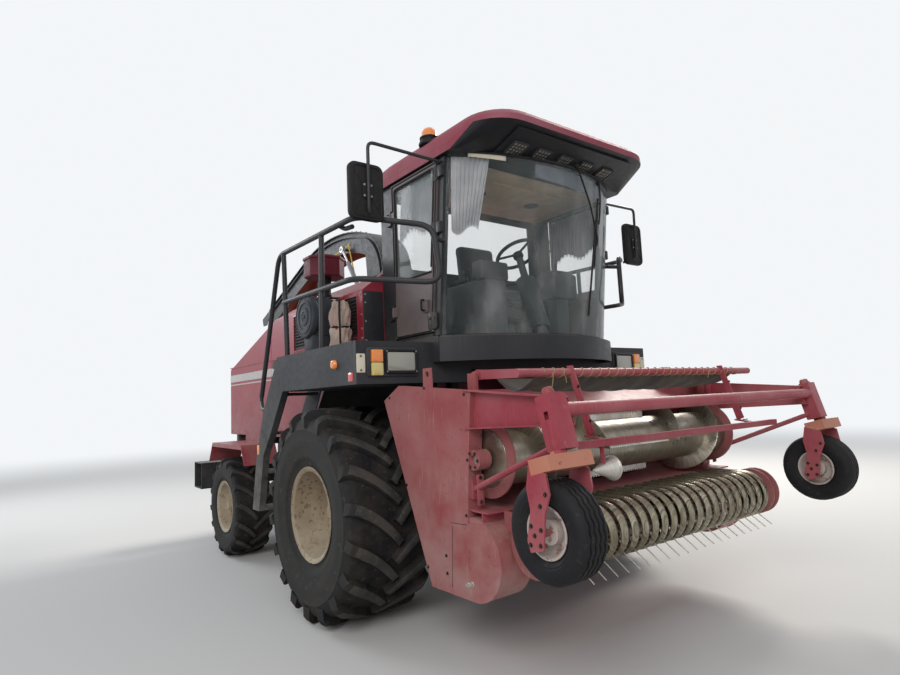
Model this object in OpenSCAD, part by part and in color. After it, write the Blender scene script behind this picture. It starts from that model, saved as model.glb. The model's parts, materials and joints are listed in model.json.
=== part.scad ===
/* [Chassis] */
// Distance between the front and rear axles
wheelbase = 2660; // [2600:10:2750]
// Half spacing of the two frame rails
rail_y = 470; // [465:1:480]
// Width of a frame rail
rail_w = 90; // [80:1:96]
// Height of a frame rail
rail_h = 200; // [160:5:220]
// Height of the top of the frame rails above the ground
rail_top = 1150; // [1140:5:1155]
// Length of the engine
engine_l = 1300; // [1000:10:1350]
// Radius of the front axle beam
axle_beam_r = 90; // [70:1:92]
// Depth of the rear bumper box
bumper_d = 330; // [250:5:340]
// Radius of the hole in the rear hitch plates
hitch_r = 20; // [14:0.5:28]

/* [Wheels] */
// Outer diameter of a front tyre over its lugs
front_tyre_d = 1600; // [1540:2:1610]
// Width of a front tyre
front_tyre_w = 720; // [640:5:730]
// Height of the middle of a front tyre's tread out from the centre line
front_tyre_y = 1340; // [1320:1:1345]
// Diameter of the flange of a front rim
front_rim_d = 715; // [690:1:730]
// Number of lugs on each side of a front tyre
front_lugs = 18; // [14:1:20]
// Outer diameter of a rear tyre over its lugs
rear_tyre_d = 1075; // [1000:1:1090]
// Width of a rear tyre
rear_tyre_w = 410; // [360:5:420]
// Distance of the middle of a rear tyre from the centre line
rear_tyre_y = 1315; // [1300:1:1330]
// Diameter of the flange of a rear rim
rear_rim_d = 565; // [540:1:580]
// Number of lugs on each side of a rear tyre
rear_lugs = 16; // [12:1:18]
// Distance of a steering kingpin from the centre line
kingpin_y = 1050; // [1045:1:1055]

/* [Fenders and platforms] */
// Distance of the outer face of the front fenders from the centre line
fender_y = 1626; // [1600:1:1640]
// Thickness of the fender sheets
fender_t = 6; // [4:0.5:10]
// Height of the platform's deck
deck_z = 2050; // [2045:1:2055]
// Height of the top handrail above the deck
rail_up = 940; // [900:5:1000]
// Radius of the handrail tubes
tube_r = 22; // [16:0.5:24]
// Distance of the front face of the lamp panel ahead of the front axle
panel_x = 750; // [740:1:755]

/* [Cab] */
// Distance of a cab side from the centre line
cab_y = 950; // [930:1:960]
// Distance of the cab's rear wall ahead of the front axle
cab_rear = 15; // [10:1:30]
// Place of the foot of a front post ahead of the front axle
post_x = 800; // [790:1:810]
// Forward lean of the windscreen and front posts
lean = 6.5; // [5:0.1:7]
// Height of the underside of the roof
roof_z = 3440; // [3430:5:3460]
// How far the windscreen bulges ahead of its posts
screen_bulge = 350; // [300:5:370]
// Thickness of the glass
glass_t = 6; // [4:0.5:8]
// Distance of the roof's front lip ahead of the front axle
visor_x = 1500; // [1450:5:1520]
// Radius of the steering wheel
wheel_r = 200; // [160:5:220]

/* [Hood] */
// Distance of a hood side from the centre line
hood_y = 1150; // [1120:1:1160]
// Distance of the hood's rear wall behind the front axle
hood_rear = 3550; // [3450:10:3580]
// Height of the hood's lower edge
hood_low = 1300; // [1299:1:1310]
// Height of the shoulder where a hood side meets the slanted face
shoulder_z = 2570; // [2540:1:2600]
// Height of the hood's flat top
hood_top = 2720; // [2700:1:2740]
// Height of the hood's top edge at its rear wall
hood_rear_z = 2120; // [2000:5:2200]
// Thickness of the hood's sheets
hood_t = 20; // [12:1:25]

/* [Spout] */
// Distance of the turret's axis behind the front axle
turret_x = 1440; // [1430:1:1450]
// Height of the top of the turret
turret_z = 3040; // [3030:1:3050]
// Depth of the spout's channel
spout_depth = 250; // [200:5:270]
// Width of the spout's channel
spout_w = 330; // [280:5:340]
// Radius of the long bend
bend_r = 2690; // [2600:10:2750]
// Radius of the bend above the turret
root_r = 600; // [560:5:640]
// Length of the straight end of the spout
spout_end_l = 1430; // [1200:10:1500]
// Length of the end flap
flap_l = 330; // [250:5:350]

/* [Header] */
// Distance of a header side plate's outer face from the centre line
header_y = 1330; // [1325:1:1335]
// Thickness of the header's sheets
sheet_t = 10; // [6:1:12]
// Radius of the auger flights
auger_r = 265; // [240:1:270]
// Radius of the auger's drum
drum_r = 170; // [140:5:180]
// Clearance between the auger and its trough
trough_gap = 25; // [15:1:30]
// Radius of the pick-up's bands
band_r = 170; // [160:1:176]
// Number of bands across the pick-up
band_count = 22; // [16:1:24]
// Radius swept by the tips of the tines
tine_r = 290; // [240:1:296]
// Radius of a gauge wheel
gauge_r = 240; // [220:1:244]
// Width of a gauge wheel's tyre
gauge_w = 190; // [160:1:200]
// Distance of a gauge wheel from the centre line
gauge_y = 1450; // [1445:1:1455]

/* [Hidden] */
$fn = 48;
seat_gap = 0.3;
run_gap = 0.3;
// Play of a cylinder's rod on the pin it drifts from as it swings
eye_play = 8;
rail_low = rail_top - rail_h;
// Rear end of the frame rails behind the front axle
rail_rear = wheelbase + 940;
front_r = front_tyre_d / 2;
rear_r = rear_tyre_d / 2;
hood_front = cab_rear - 10;
rail_z = deck_z + rail_up;
hand_y = fender_y - 76;
// Outer face of a wheel arch's inner wall
arch_y = 930;

// The spout's outer line: a bend above the turret, a long bend and a straight end.
// Angles are those of the arcs' radii, anticlockwise from straight ahead.
root_a = 71.6;
end_a = 109;
root_c = [-turret_x - root_r + 200, turret_z + 3];
bend_c = [root_c[0] - (bend_r - root_r) * cos(root_a), root_c[1] - (bend_r - root_r) * sin(root_a)];
end_dir = [-sin(end_a), cos(end_a)];
end_start = [bend_c[0] + bend_r * cos(end_a), bend_c[1] + bend_r * sin(end_a)];
spout_tip = end_start + spout_end_l * end_dir;
flap_gap = 6;
flap_tip = spout_tip + (flap_gap + flap_l) * end_dir;

// Header places: X ahead of the front axle, then height
auger_c = [1590, 1260];
reel_c = [1960, 810];
lift_c = [-250, 1000];
guard_c = [1520, 1765];
gauge_c = [2350, 990];
castor_lean = 14.5;
neck_c = [2388, 1340];
front_reach = gauge_c[0] + gauge_r;
front_axle_x = (-flap_tip[0] - front_reach) / 2;

module from_axle() {
    translate([front_axle_x, 0, 0]) children();
}

module both_sides() {
    children();
    mirror([0, 1, 0]) children();
}

// A block between low and high values of x, y and z
module block(x, y, z) {
    translate([x[0], y[0], z[0]]) cube([x[1] - x[0], y[1] - y[0], z[1] - z[0]]);
}

// A plate in the XZ plane, between two values of y
module side_plate(y, pts) {
    translate([0, y[1], 0]) rotate([90, 0, 0]) linear_extrude(y[1] - y[0]) polygon(pts);
}

// A plate in the YZ plane, between two values of x
module cross_plate(x, pts) {
    translate([x[0], 0, 0]) rotate([90, 0, 90]) linear_extrude(x[1] - x[0]) polygon(pts);
}

// A round bar along Y, at [x, z], between two values of y
module rod_y(c, y, r) {
    translate([c[0], y[0], c[1]]) rotate([-90, 0, 0]) cylinder(r = r, h = y[1] - y[0]);
}

// A round bar from one point to another
module link(a, b, r) {
    v = b - a;
    translate(a) rotate([0, acos(v[2] / norm(v)), atan2(v[1], v[0])]) cylinder(r = r, h = norm(v));
}

// A bent tube through points, its pieces a little longer where they meet
module pipe(pts, r) {
    for (i = [0 : len(pts) - 2]) {
        more = 0.4 * r * (pts[i + 1] - pts[i]) / norm(pts[i + 1] - pts[i]);
        link(pts[i] - (i > 0 ? 1 : 0) * more, pts[i + 1] + (i < len(pts) - 2 ? 1 : 0) * more, r, $fn = 12);
    }
}

// Points of an arc about c
function arc(c, r, from, to, n) =
    [for (i = [0 : n]) let (a = from + (to - from) * i / n) [c[0] + r * cos(a), c[1] + r * sin(a)]];

function reverse(list) = [for (i = [len(list) - 1 : -1 : 0]) list[i]];

function unit(v) = v / norm(v);
function turned(v) = [-v[1], v[0]];

// A line through points, moved t to its left
function beside(pts, t) = [for (i = [0 : len(pts) - 1]) let (
    before = max(i, 1), after = min(i, len(pts) - 2),
    n = turned(unit(pts[before] - pts[before - 1])),
    m = unit(n + turned(unit(pts[after + 1] - pts[after])))) pts[i] + m * t / (m * n)];

// A strip t wide on the left of a line through points, between two values of y
module fold(y, pts, t) {
    side_plate(y, concat(pts, reverse(beside(pts, t))));
}

// Chassis

module frame_rail() {
    block([-rail_rear, 350], [rail_y - rail_w / 2, rail_y + rail_w / 2], [rail_low, rail_top]);
}

// Cross beams that carry the hood: place behind the front axle, reach from the centre line
hood_beams = [[200, arch_y - 8 - seat_gap], [1620, hood_y - 25], [3350, hood_y - 25]];

module chassis_frame() {
    color("#26282b") from_axle() {
        both_sides() frame_rail();
        for (b = hood_beams) block([-b[0] - 40, -b[0] + 40], [-b[1], b[1]],
            [rail_top - 1, hood_low - seat_gap]);
        block([-rail_rear + seat_gap, -rail_rear + 100], [-rail_y, rail_y], [rail_low, rail_top]);
        block([-1050, -950], [-rail_y, rail_y], [rail_low, rail_top]);
        block([-wheelbase - 110, -wheelbase - 10], [-rail_y, rail_y],
            [rail_low, rail_top - 150 - seat_gap]);
        block([-wheelbase - 60, -wheelbase + 60], [-160, 160], [620, rail_low + 1]);
        deck_frame();
    }
}

// Uprights and cross beams that carry the deck
module deck_frame() {
    both_sides() for (x = [-200, 300])
        block([x - 40, x + 40], [rail_y - 40, rail_y + 40], [rail_top - 1, deck_z - 90]);
    block([-240, -160], [-hood_y + 60, hood_y - 60], [deck_z - 170, deck_z - 90]);
    block([260, 340], [-fender_y + 20, fender_y - 20], [deck_z - 110, deck_z - 20 - seat_gap]);
    both_sides() block([-850, -770], [hood_y + seat_gap, fender_y - 20],
        [deck_z - 90, deck_z - 20 - seat_gap]);
}

// The chopper's housing, its duct and the tube up to the turret
module chopper_housing() {
    color("#3a2a2a") from_axle() {
        side_plate([-370, 370], concat(arc([-600, 1060], 330, 20, 250, 14), [[-320, 760]]));
        both_sides() {
            side_plate([360, 390], concat(arc(lift_c, 70, -90, 90, 8), [[-500, 1070], [-500, 930]]));
            rod_y(lift_c, [350, 416], 40);
            block([-800, -500], [360, rail_y - rail_w / 2 - seat_gap], [rail_low, rail_top]);
        }
        translate([-turret_x, 0, hood_low]) cylinder(r = 225, h = turret_z - 190 - hood_low);
        block([-turret_x, -800], [-200, 200], [rail_top + seat_gap, rail_top + 400]);
    }
}

// Heights of the box across the rear, and the two plates of the hitch on it
bumper_z = [640, 960];
hitch_z = [740, 840];
hitch_x = -rail_rear - bumper_d - 90;

// A hollow box across the rear, with open ends and the hitch plates
module bumper() {
    wall = 12;
    rear = -rail_rear - bumper_d;
    color("#26282b") from_axle() difference() {
        union() {
            difference() {
                block([rear, -rail_rear], [-1500, 1500], bumper_z);
                block([rear + wall, -rail_rear - wall], [-1501, 1501], bumper_z + [wall, -wall]);
            }
            both_sides() block([-rail_rear - 1, -rail_rear + 40], [rail_y - 60, rail_y + 60],
                [bumper_z[0] + 10, rail_low - seat_gap]);
            for (z = hitch_z) hitch_plate(z);
        }
        translate([hitch_x, 0, hitch_z[0] - 40]) cylinder(r = hitch_r, h = 200);
    }
}

module hitch_plate(z) {
    hull() {
        translate([hitch_x, 0, z]) cylinder(r = 55, h = 20);
        block([hitch_x + 90, hitch_x + 95], [-120, 120], [z, z + 20]);
    }
}

module front_axle() {
    color("#3a2a2a") from_axle() both_sides() {
        rod_y([0, 720], [-1, 900], axle_beam_r);
        block([-80, 80], [rail_y - 40, rail_y + 40], [700, rail_low - seat_gap]);
        rod_y([0, front_r], [820, 1150], 150);
        rod_y([0, front_r], [1140, 1200], 100);
        rod_y([0, front_r], [1190, front_tyre_y - 50], 60);
        lift_foot();
    }
}

foot_c = [170, 590];
module lift_foot() {
    for (y = [590, 676.5])
        side_plate([y, y + 13.5], concat(arc(foot_c, 40, -120, 60, 8), [[20, 700], [-40, 650]]));
    rod_y(foot_c, [590, 690], 18);
}

module rear_axle() {
    color("#6a5f55") from_axle() {
        block([-wheelbase - 65, -wheelbase + 65], [-kingpin_y + 90, kingpin_y - 90],
            [rear_r - 70, rear_r + 60]);
        block([-wheelbase - 90, -wheelbase + 90], [-120, 120], [rear_r - 90, 620 - seat_gap]);
        both_sides() difference() {
            for (z = [rear_r - 137, rear_r + 103]) {
                translate([-wheelbase, kingpin_y, z]) cylinder(r = 45, h = 30);
                block([-wheelbase - 45, -wheelbase + 45], [kingpin_y - 130, kingpin_y], [z, z + 30]);
            }
            translate([-wheelbase, kingpin_y, rear_r - 150]) cylinder(r = 25 + run_gap, h = 300);
        }
        both_sides() block([-wheelbase - 45, -wheelbase + 45], [kingpin_y - 130, kingpin_y - 89],
            [rear_r - 137, rear_r + 133]);
    }
}

module knuckle() {
    translate([-wheelbase, kingpin_y, rear_r - 103]) cylinder(r = 40, h = 203);
    translate([-wheelbase, kingpin_y, rear_r - 145]) cylinder(r = 25, h = 290);
    rod_y([-wheelbase, rear_r], [kingpin_y, rear_tyre_y - 105], 52);
    rod_y([-wheelbase, rear_r], [kingpin_y, rear_tyre_y - 30], 35);
    block([-wheelbase - 190, -wheelbase], [kingpin_y - 20, kingpin_y + 20], [rear_r - 100, rear_r - 75]);
}

module knuckle_left() {
    color("#6a5f55") from_axle() knuckle();
}

module knuckle_right() {
    color("#6a5f55") from_axle() mirror([0, 1, 0]) knuckle();
}

engine_y = rail_y - rail_w / 2 - seat_gap;
module engine_block() {
    color("#55585c") from_axle()
        block([-1760 - engine_l, -1760], [-engine_y, engine_y], [rail_top - 150, rail_top + 900]);
}

// Wheels: each is drawn about Z with its outer side up

// The tyre's section: [radius, height] from the bead out to the tread
function tyre_section(r, w, bead_r, flange_r, lug_h) = let (s = r - lug_h) [
    [bead_r, -0.42 * w], [flange_r + 3, -0.42 * w], [bead_r + 0.42 * (s - bead_r), -0.5 * w],
    [bead_r + 0.68 * (s - bead_r), -0.5 * w], [s - 0.08 * (s - bead_r), -0.46 * w], [s, -0.4 * w],
    [s, 0.4 * w], [s - 0.08 * (s - bead_r), 0.46 * w], [bead_r + 0.68 * (s - bead_r), 0.5 * w],
    [bead_r + 0.42 * (s - bead_r), 0.5 * w], [flange_r + 3, 0.42 * w], [bead_r, 0.42 * w]
];

module tyre(d, w, rim_d, lug_h, lugs, lug_w) {
    r = d / 2;
    bead_r = rim_d / 2 - 26;
    rotate_extrude($fn = 60) polygon(tyre_section(r, w, bead_r, rim_d / 2, lug_h));
    intersection() {
        rotate_extrude($fn = 60)
            polygon([[r - lug_h - 20, -w / 2], [r - 12, -w / 2], [r, -w / 2 + 40],
                [r, w / 2 - 40], [r - 12, w / 2], [r - lug_h - 20, w / 2]]);
        union() for (i = [0 : lugs - 1], side = [0, 1])
            rotate([0, 0, (i + side / 2) * 360 / lugs]) mirror([0, 0, side]) lug(r, w, lug_h, lug_w);
    }
}

// One bar of the chevron, from the middle of the tread to a shoulder
module lug(r, w, lug_h, lug_w) {
    translate([r - lug_h - 60, 0, 0.22 * w]) rotate([45, 0, 0]) translate([0, -lug_w / 2, -0.34 * w])
        cube([lug_h + 80, lug_w, 0.68 * w]);
}

module rim(w, rim_d, hub_r, bore_r, bore_end, cap_r, cap_h) {
    bead_r = rim_d / 2 - 26;
    half = 0.42 * w + seat_gap;
    difference() {
        rotate_extrude($fn = 64) {
            translate([bead_r - 14, -half - 12]) square([14 - seat_gap, 2 * half + 24]);
            for (z = [-half - 12, half]) translate([bead_r - 14, z]) square([rim_d / 2 - bead_r + 14, 12]);
            polygon([[0, 10], [hub_r + 40, 10], [bead_r - 10, -0.12 * w], [bead_r - 10, -0.12 * w + 18],
                [hub_r + 50, 30], [0, 30]]);
            translate([0, 10 - 0.2 * w]) square([hub_r, 0.2 * w]);
            translate([0, 20]) square([cap_r, cap_h]);
        }
        translate([0, 0, -w]) cylinder(r = bore_r + run_gap, h = w + bore_end);
    }
}

module place_wheel(x, y, z) {
    from_axle() translate([x, y, z]) rotate([-90, 0, 0]) children();
}

module front_tyre() {
    tyre(front_tyre_d, front_tyre_w, front_rim_d, 55, front_lugs, 62);
}

module front_rim() {
    rim(front_tyre_w, front_rim_d, 110, 60, -45, 120, 110);
}

module rear_tyre() {
    tyre(rear_tyre_d, rear_tyre_w, rear_rim_d, 32, rear_lugs, 44);
}

module rear_rim() {
    rim(rear_tyre_w, rear_rim_d, 80, 35, -25, 70, 60);
}

module front_tyre_left() {
    color("#1c1c1d") place_wheel(0, front_tyre_y, front_r) front_tyre();
}

module front_tyre_right() {
    color("#1c1c1d") mirror([0, 1, 0]) place_wheel(0, front_tyre_y, front_r) front_tyre();
}

module front_rim_left() {
    color("#cfc3ac") place_wheel(0, front_tyre_y, front_r) front_rim();
}

module front_rim_right() {
    color("#cfc3ac") mirror([0, 1, 0]) place_wheel(0, front_tyre_y, front_r) front_rim();
}

module rear_tyre_left() {
    color("#1c1c1d") place_wheel(-wheelbase, rear_tyre_y, rear_r) rear_tyre();
}

module rear_tyre_right() {
    color("#1c1c1d") mirror([0, 1, 0]) place_wheel(-wheelbase, rear_tyre_y, rear_r) rear_tyre();
}

module rear_rim_left() {
    color("#cfc3ac") place_wheel(-wheelbase, rear_tyre_y, rear_r) rear_rim();
}

module rear_rim_right() {
    color("#cfc3ac") mirror([0, 1, 0]) place_wheel(-wheelbase, rear_tyre_y, rear_r) rear_rim();
}

// Hood

// The hood's section across, and its outline from the side, inset by t
function hood_section(t) = [
    [-hood_y + t, hood_low - 1], [hood_y - t, hood_low - 1], [hood_y - t, shoulder_z - t / 2],
    [hood_y - 200 - t / 2, hood_top - t], [-hood_y + 200 + t / 2, hood_top - t],
        [-hood_y + t, shoulder_z - t / 2]
];
function hood_side(t) = [
    [-hood_rear + t, hood_low - 1], [hood_front - t, hood_low - 1], [hood_front - t, hood_top + 1 - t],
    [-turret_x - 10, hood_top + 1 - t], [-hood_rear + t, hood_rear_z - t]
];

module hood_body(t) {
    intersection() {
        cross_plate([-hood_rear - 1, hood_front + 1], hood_section(t));
        side_plate([-hood_y - 1, hood_y + 1], hood_side(t));
    }
}

// Side windows of the hood: [rear x, front x, low z, high z]
hood_windows = [[-1450, -820, 2180, 2530], [-720, -90, 2180, 2530]];
rear_window = [760, 1500, 2020];

module engine_hood() {
    color("#8e2f3c") from_axle() difference() {
        hood_body(0);
        hood_body(hood_t);
        block([-hood_rear - 10, hood_front + 10], [-hood_y - 10, hood_y + 10], [hood_low - 10, hood_low]);
        for (w = hood_windows) block([w[0], w[1]], [-hood_y - 50, hood_y + 50], [w[2], w[3]]);
        block([-hood_rear - 10, -hood_rear + 60], [-rear_window[0], rear_window[0]],
            [rear_window[1], rear_window[2]]);
        translate([-turret_x, 0, hood_top - 200]) cylinder(r = 240, h = 400);
        both_sides() side_plate([arch_y - 8 - seat_gap, hood_y + 10],
            concat(beside(arch_line, seat_gap), [[panel_x, 1200], arch_line[0] - [0, 25]]));
        block([hood_front - 60, hood_front + 10], [-450, 450], [hood_low - 10, hood_low + 75]);
    }
}

module hood_grilles() {
    color("#3d3f3c") from_axle() {
        both_sides() for (w = hood_windows) side_grille(w);
        rear_grille();
    }
}

module side_grille(w) {
    y = [hood_y - 14, hood_y - 6];
    g = seat_gap;
    difference() {
        block([w[0] + g, w[1] - g], y, [w[2] + g, w[3] - g]);
        block([w[0] + 25, w[1] - 25], [y[0] - 1, y[1] + 1], [w[2] + 25, w[3] - 25]);
    }
    for (z = [w[2] + 20 : 30 : w[3] - 20]) block([w[0] + 20, w[1] - 20], y, [z, z + 12]);
}

module rear_grille() {
    x = [-hood_rear + 4, -hood_rear + 14];
    g = seat_gap;
    difference() {
        block(x, [-rear_window[0] + g, rear_window[0] - g], [rear_window[1] + g, rear_window[2] - g]);
        block([x[0] - 1, x[1] + 1], [-rear_window[0] + 30, rear_window[0] - 30],
            [rear_window[1] + 30, rear_window[2] - 30]);
    }
    for (z = [rear_window[1] + 25 : 40 : rear_window[2] - 25])
        block(x, [-rear_window[0] + 25, rear_window[0] - 25], [z, z + 16]);
}

module rear_mudguards() {
    outer = rear_tyre_y + rear_tyre_w / 2;
    color("#8e2f3c") from_axle() translate([-wheelbase, 0, 0]) both_sides() {
        side_plate([hood_y + seat_gap, outer], [
            [-530, 1010], [-385, 1235], [645, 1235], [755, 1030], [745, 1030], [638, 1225], [-378, 1225],
                [-520, 1010]
        ]);
        side_plate([outer - 6, outer], [[-415, 1190], [-385, 1235], [645, 1235], [670, 1190]]);
        side_plate([hood_y + seat_gap, hood_y + 8], [[-300, 1230], [580, 1230], [550, 1400], [-270, 1400]]);
    }
}

// Fenders, platforms and rails

// The wheel arches under the hood and deck: an inner wall, and a roof that follows this line
arch_line = [[-1020, 1225], [-880, 1382], [-575, 1752], [panel_x - 40 - seat_gap, 1752]];

module wheel_arches() {
    color("#1d1e20") from_axle() both_sides() {
        side_plate([arch_y - 8, arch_y], concat([[-1020, 1000], [panel_x - 41, 1000]], reverse(arch_line)));
        fold([arch_y - 8, 1240 - seat_gap], reverse(arch_line), 8);
        block([-560, arch_line[3][0]], [1238, fender_y - 60 - seat_gap],
            [arch_line[3][1] - 8, arch_line[3][1]]);
    }
}

// Outline of a front fender with the leg that runs down behind the wheel
fender_outline = [
    [panel_x - 40, deck_z - 20], [panel_x - 40, 1750], [-570, 1750], [-880, 1370], [-1045, 1190],
        [-1180, 680],
    [-1345, 680], [-1230, 1170], [-1040, 1580], [-700, deck_z - 20]
];

module front_fenders() {
    color("#2b2d30") from_axle() both_sides() {
        side_plate([fender_y - fender_t, fender_y], fender_outline);
        fold([fender_y - 60, fender_y - 1], [[-1180, 680], [-1045, 1190], [-880, 1370], [-570, 1750],
            [panel_x - 40, 1750]], 8);
        fold([fender_y - 60, fender_y - 1], [[-700, deck_z - 20], [-1040, 1580], [-1230, 1170],
            [-1345, 680]], 8);
    }
}

// Treads of the side ladders: [x of the middle, height]
treads = [[-790, 1740], [-985, 1400], [-1140, 1050], [-1245, 710]];

module platforms() {
    color("#2b2d30") from_axle() both_sides() {
        block([-700, hood_front + 2], [hood_y + seat_gap, fender_y], [deck_z - 20, deck_z]);
        block([hood_front + seat_gap, panel_x - 45], [cab_y + 2, fender_y], [deck_z - 20, deck_z]);
        side_plate([1240, 1250], [
            [-700, deck_z - 20], [-620, 1760], [-880, 1370], [-1045, 1190], [-1180, 680], [-1345, 680],
            [-1230, 1170], [-1040, 1580]
        ]);
        for (t = treads) {
            block([t[0] - 100, t[0] + 100], [1249, fender_y - 60 - seat_gap], [t[1] - 25, t[1]]);
        }
    }
}

// Points of the right handrail, mirrored for the left: [x, y, z]
module handrails() {
    color("#1f2022") from_axle() both_sides() {
        pipe([[-1290, hand_y, 1720], [-800, hand_y, rail_z], [630, hand_y - 14, rail_z - 26],
            [942.5, 1072, rail_z - 110], [970, 1040, 2460], [600, hand_y - 5, 2515],
                [-710, hand_y, 2540]], tube_r);
        link([-640, hand_y, deck_z + 1.4], [-690, hand_y, rail_z], tube_r - 3, $fn = 12);
        link([60, hand_y, deck_z + seat_gap], [60, hand_y - 15, rail_z - 10], tube_r - 3, $fn = 12);
        difference() {
            pipe([[-1290, hand_y, 1720], [-1200, hand_y, 1640], [-1120, fender_y - 30, 1600],
                [-1000, fender_y - 30, 1600]], tube_r - 4);
            translate([-seat_gap, 0, 0]) side_plate([fender_y - 90, fender_y + 1], fender_outline);
        }
        link([948, 1065, 2790], [900, cab_y + 2, 2790], 14, $fn = 12);
    }
}

// Front lamp panel, the skirt under the windscreen and the lamps

// Plan of the curved front, o outside the windscreen's glass
function bow(o, n) = let (r = (cab_y * cab_y + screen_bulge * screen_bulge) / (2 * screen_bulge),
    a = asin(cab_y / r)) arc([post_x + screen_bulge - r, 0], r + o, -a, a, n);

module front_panel() {
    color("#232528") from_axle() {
        difference() {
            block([panel_x - 40, panel_x], [-fender_y, fender_y], [1750, deck_z]);
            both_sides() block([panel_x - 25, panel_x + 1], [1150, 1400], [1830, 1990]);
            block([panel_x - 60, panel_x + 60], [-620, 620], [1700, 1850]);
        }
        difference() {
            translate([0, 0, 1900]) linear_extrude(deck_z + 30 - 1900) polygon(bow(60, 24));
            translate([0, 0, 1800]) linear_extrude(deck_z + 10 - 1800) polygon(bow(48, 24));
        }
        both_sides() block([panel_x - 41, post_x + 40], [cab_y - 30, cab_y + 40], [1900, deck_z]);
    }
}

module lamps() {
    color("#e8e2c8") from_axle() {
        both_sides() {
            block([panel_x - 25 + seat_gap, panel_x + 6], [1155, 1395], [1835, 1985]);
            block([panel_x + seat_gap, panel_x + 26], [1435, 1510], [1820, 1990]);
            block([panel_x + seat_gap, panel_x + 6], [1555, 1605], [1810, 1990]);
            rod_y([390, 1870], [fender_y + seat_gap, fender_y + 30], 32);
            block([-rail_rear - bumper_d - 22, -rail_rear - bumper_d - seat_gap], [1200, 1380], [740, 860]);
        }
        visor_frame() for (y = lamp_rows) block([120, 230], [y - 55, y + 55], [-26, -12 - seat_gap]);
        translate(beacon_c) beacon();
    }
}

// Work lamps under the visor: places across
lamp_rows = [-500, -250, 0, 250, 500];

// Foot of the beacon, in a recess of the roof
beacon_c = [650, -860, 3640];

module beacon() {
    cylinder(r = 66, h = 45);
    translate([0, 0, 44]) cylinder(r = 58, h = 50);
    translate([0, 0, 94]) difference() {
        sphere(r = 58);
        translate([-70, -70, -80]) cube([140, 140, 80]);
    }
}

// Cab

// The frame of the leaning front: X backwards from the post's front, Z up the post
module lean_frame() {
    translate([post_x, 0, deck_z + 50]) rotate([0, lean, 0]) children();
}

// The frame of the visor's underside: X forwards along it
module visor_frame() {
    translate([1090, 0, roof_z]) rotate([0, -16, 0]) children();
}

post_h = (roof_z - deck_z - 50) / cos(lean);

module cab_floor() {
    color("#303236") from_axle() {
        block([cab_rear, post_x - 20], [-cab_y, cab_y], [deck_z + seat_gap, deck_z + 50]);
        translate([0, 0, deck_z + 30 + seat_gap]) linear_extrude(20) polygon(bow(-8, 24));
        difference() {
            block([120, 560], [-260, 260], [deck_z + 49, deck_z + 330]);
            block([200, 561], [-200, 200], [deck_z + 60, deck_z + 250]);
        }
    }
}

module cab_frame() {
    color("#2b2c2f") from_axle() {
        both_sides() {
            lean_frame() block([-60, 0], [cab_y - 55, cab_y], [seat_gap, post_h - 10]);
            block([cab_rear, cab_rear + 60], [cab_y - 60, cab_y],
                [deck_z + 50 + seat_gap, roof_z - seat_gap]);
            block([cab_rear, 195], [cab_y - 14, cab_y], [deck_z + 50 + seat_gap, roof_z - seat_gap]);
            block([cab_rear, 860], [cab_y - 55, cab_y - 15], [roof_z - 45, roof_z - seat_gap]);
            block([205, 700], [cab_y - 55, cab_y - 15], [deck_z + 50 + seat_gap, deck_z + 78]);
            for (z = hinge_z) door_pin(z);
        }
        difference() {
            block([cab_rear, cab_rear + 15], [-cab_y + 50, cab_y - 50],
                [deck_z + 50 + seat_gap, roof_z - seat_gap]);
            block([0, 60], [-cab_y + 140, cab_y - 140], [2780, 3360]);
        }
        block([cab_rear, 860], [-cab_y + 50, cab_y - 50], [roof_z - 20, roof_z - seat_gap]);
        visor_frame() block([0, 370], [-640, 640], [-12, -seat_gap]);
    }
}

// Door hinges: heights, and the axis at [x, y]
hinge_z = [deck_z + 300, roof_z - 290];
hinge_c = [200, cab_y + 18];

module door_pin(z) {
    translate([hinge_c[0], hinge_c[1], z - 60]) cylinder(r = 8, h = 120);
    block([hinge_c[0] - 60, hinge_c[0] + 8], [cab_y - 1, hinge_c[1] + 8], [z - 60, z - 42]);
    block([hinge_c[0] - 60, hinge_c[0] + 8], [cab_y - 1, hinge_c[1] + 8], [z + 42, z + 60]);
}

// Outline of a door inset by t, and of its window: the front edge leans with the post
function door_edge(z, t) = post_x - 66 / cos(lean) + (z - deck_z - 50) * tan(lean) - t;
function door_outline(t, low, high) = [
    [212 + t, low + t], [door_edge(low + t, t), low + t], [door_edge(high - t, t), high - t],
        [212 + t, high - t]
];
door_low = deck_z + 84;
door_high = roof_z - 15;
sill_z = 2590;

module door() {
    y = [cab_y - 12, cab_y + 12];
    difference() {
        side_plate(y, door_outline(0, door_low, door_high));
        side_plate([y[0] - 1, y[1] + 1], door_outline(45, sill_z - 45, door_high));
        side_plate([y[0] - 1, y[1] - 8], door_outline(45, door_low, sill_z - 25));
    }
    for (z = hinge_z) difference() {
        union() {
            translate([hinge_c[0], hinge_c[1], z - 40]) cylinder(r = 14, h = 80);
            block([hinge_c[0], hinge_c[0] + 60], [cab_y + 11, hinge_c[1] + 6], [z - 40, z + 40]);
        }
        translate([hinge_c[0], hinge_c[1], z - 70]) cylinder(r = 8 + run_gap, h = 140);
    }
    block([640, 700], [cab_y + 11, cab_y + 26], [2290, 2380]);
}

module door_glass() {
    side_plate([cab_y - glass_t / 2, cab_y + glass_t / 2],
        door_outline(45 + seat_gap, sill_z - 45, door_high));
}

module door_left() {
    color("#55504f") from_axle() door();
}

module door_right() {
    color("#55504f") from_axle() mirror([0, 1, 0]) door();
}

module door_left_glass() {
    color("#a9bcc0", 0.4) from_axle() door_glass();
}

module door_right_glass() {
    color("#a9bcc0", 0.4) from_axle() mirror([0, 1, 0]) door_glass();
}

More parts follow.
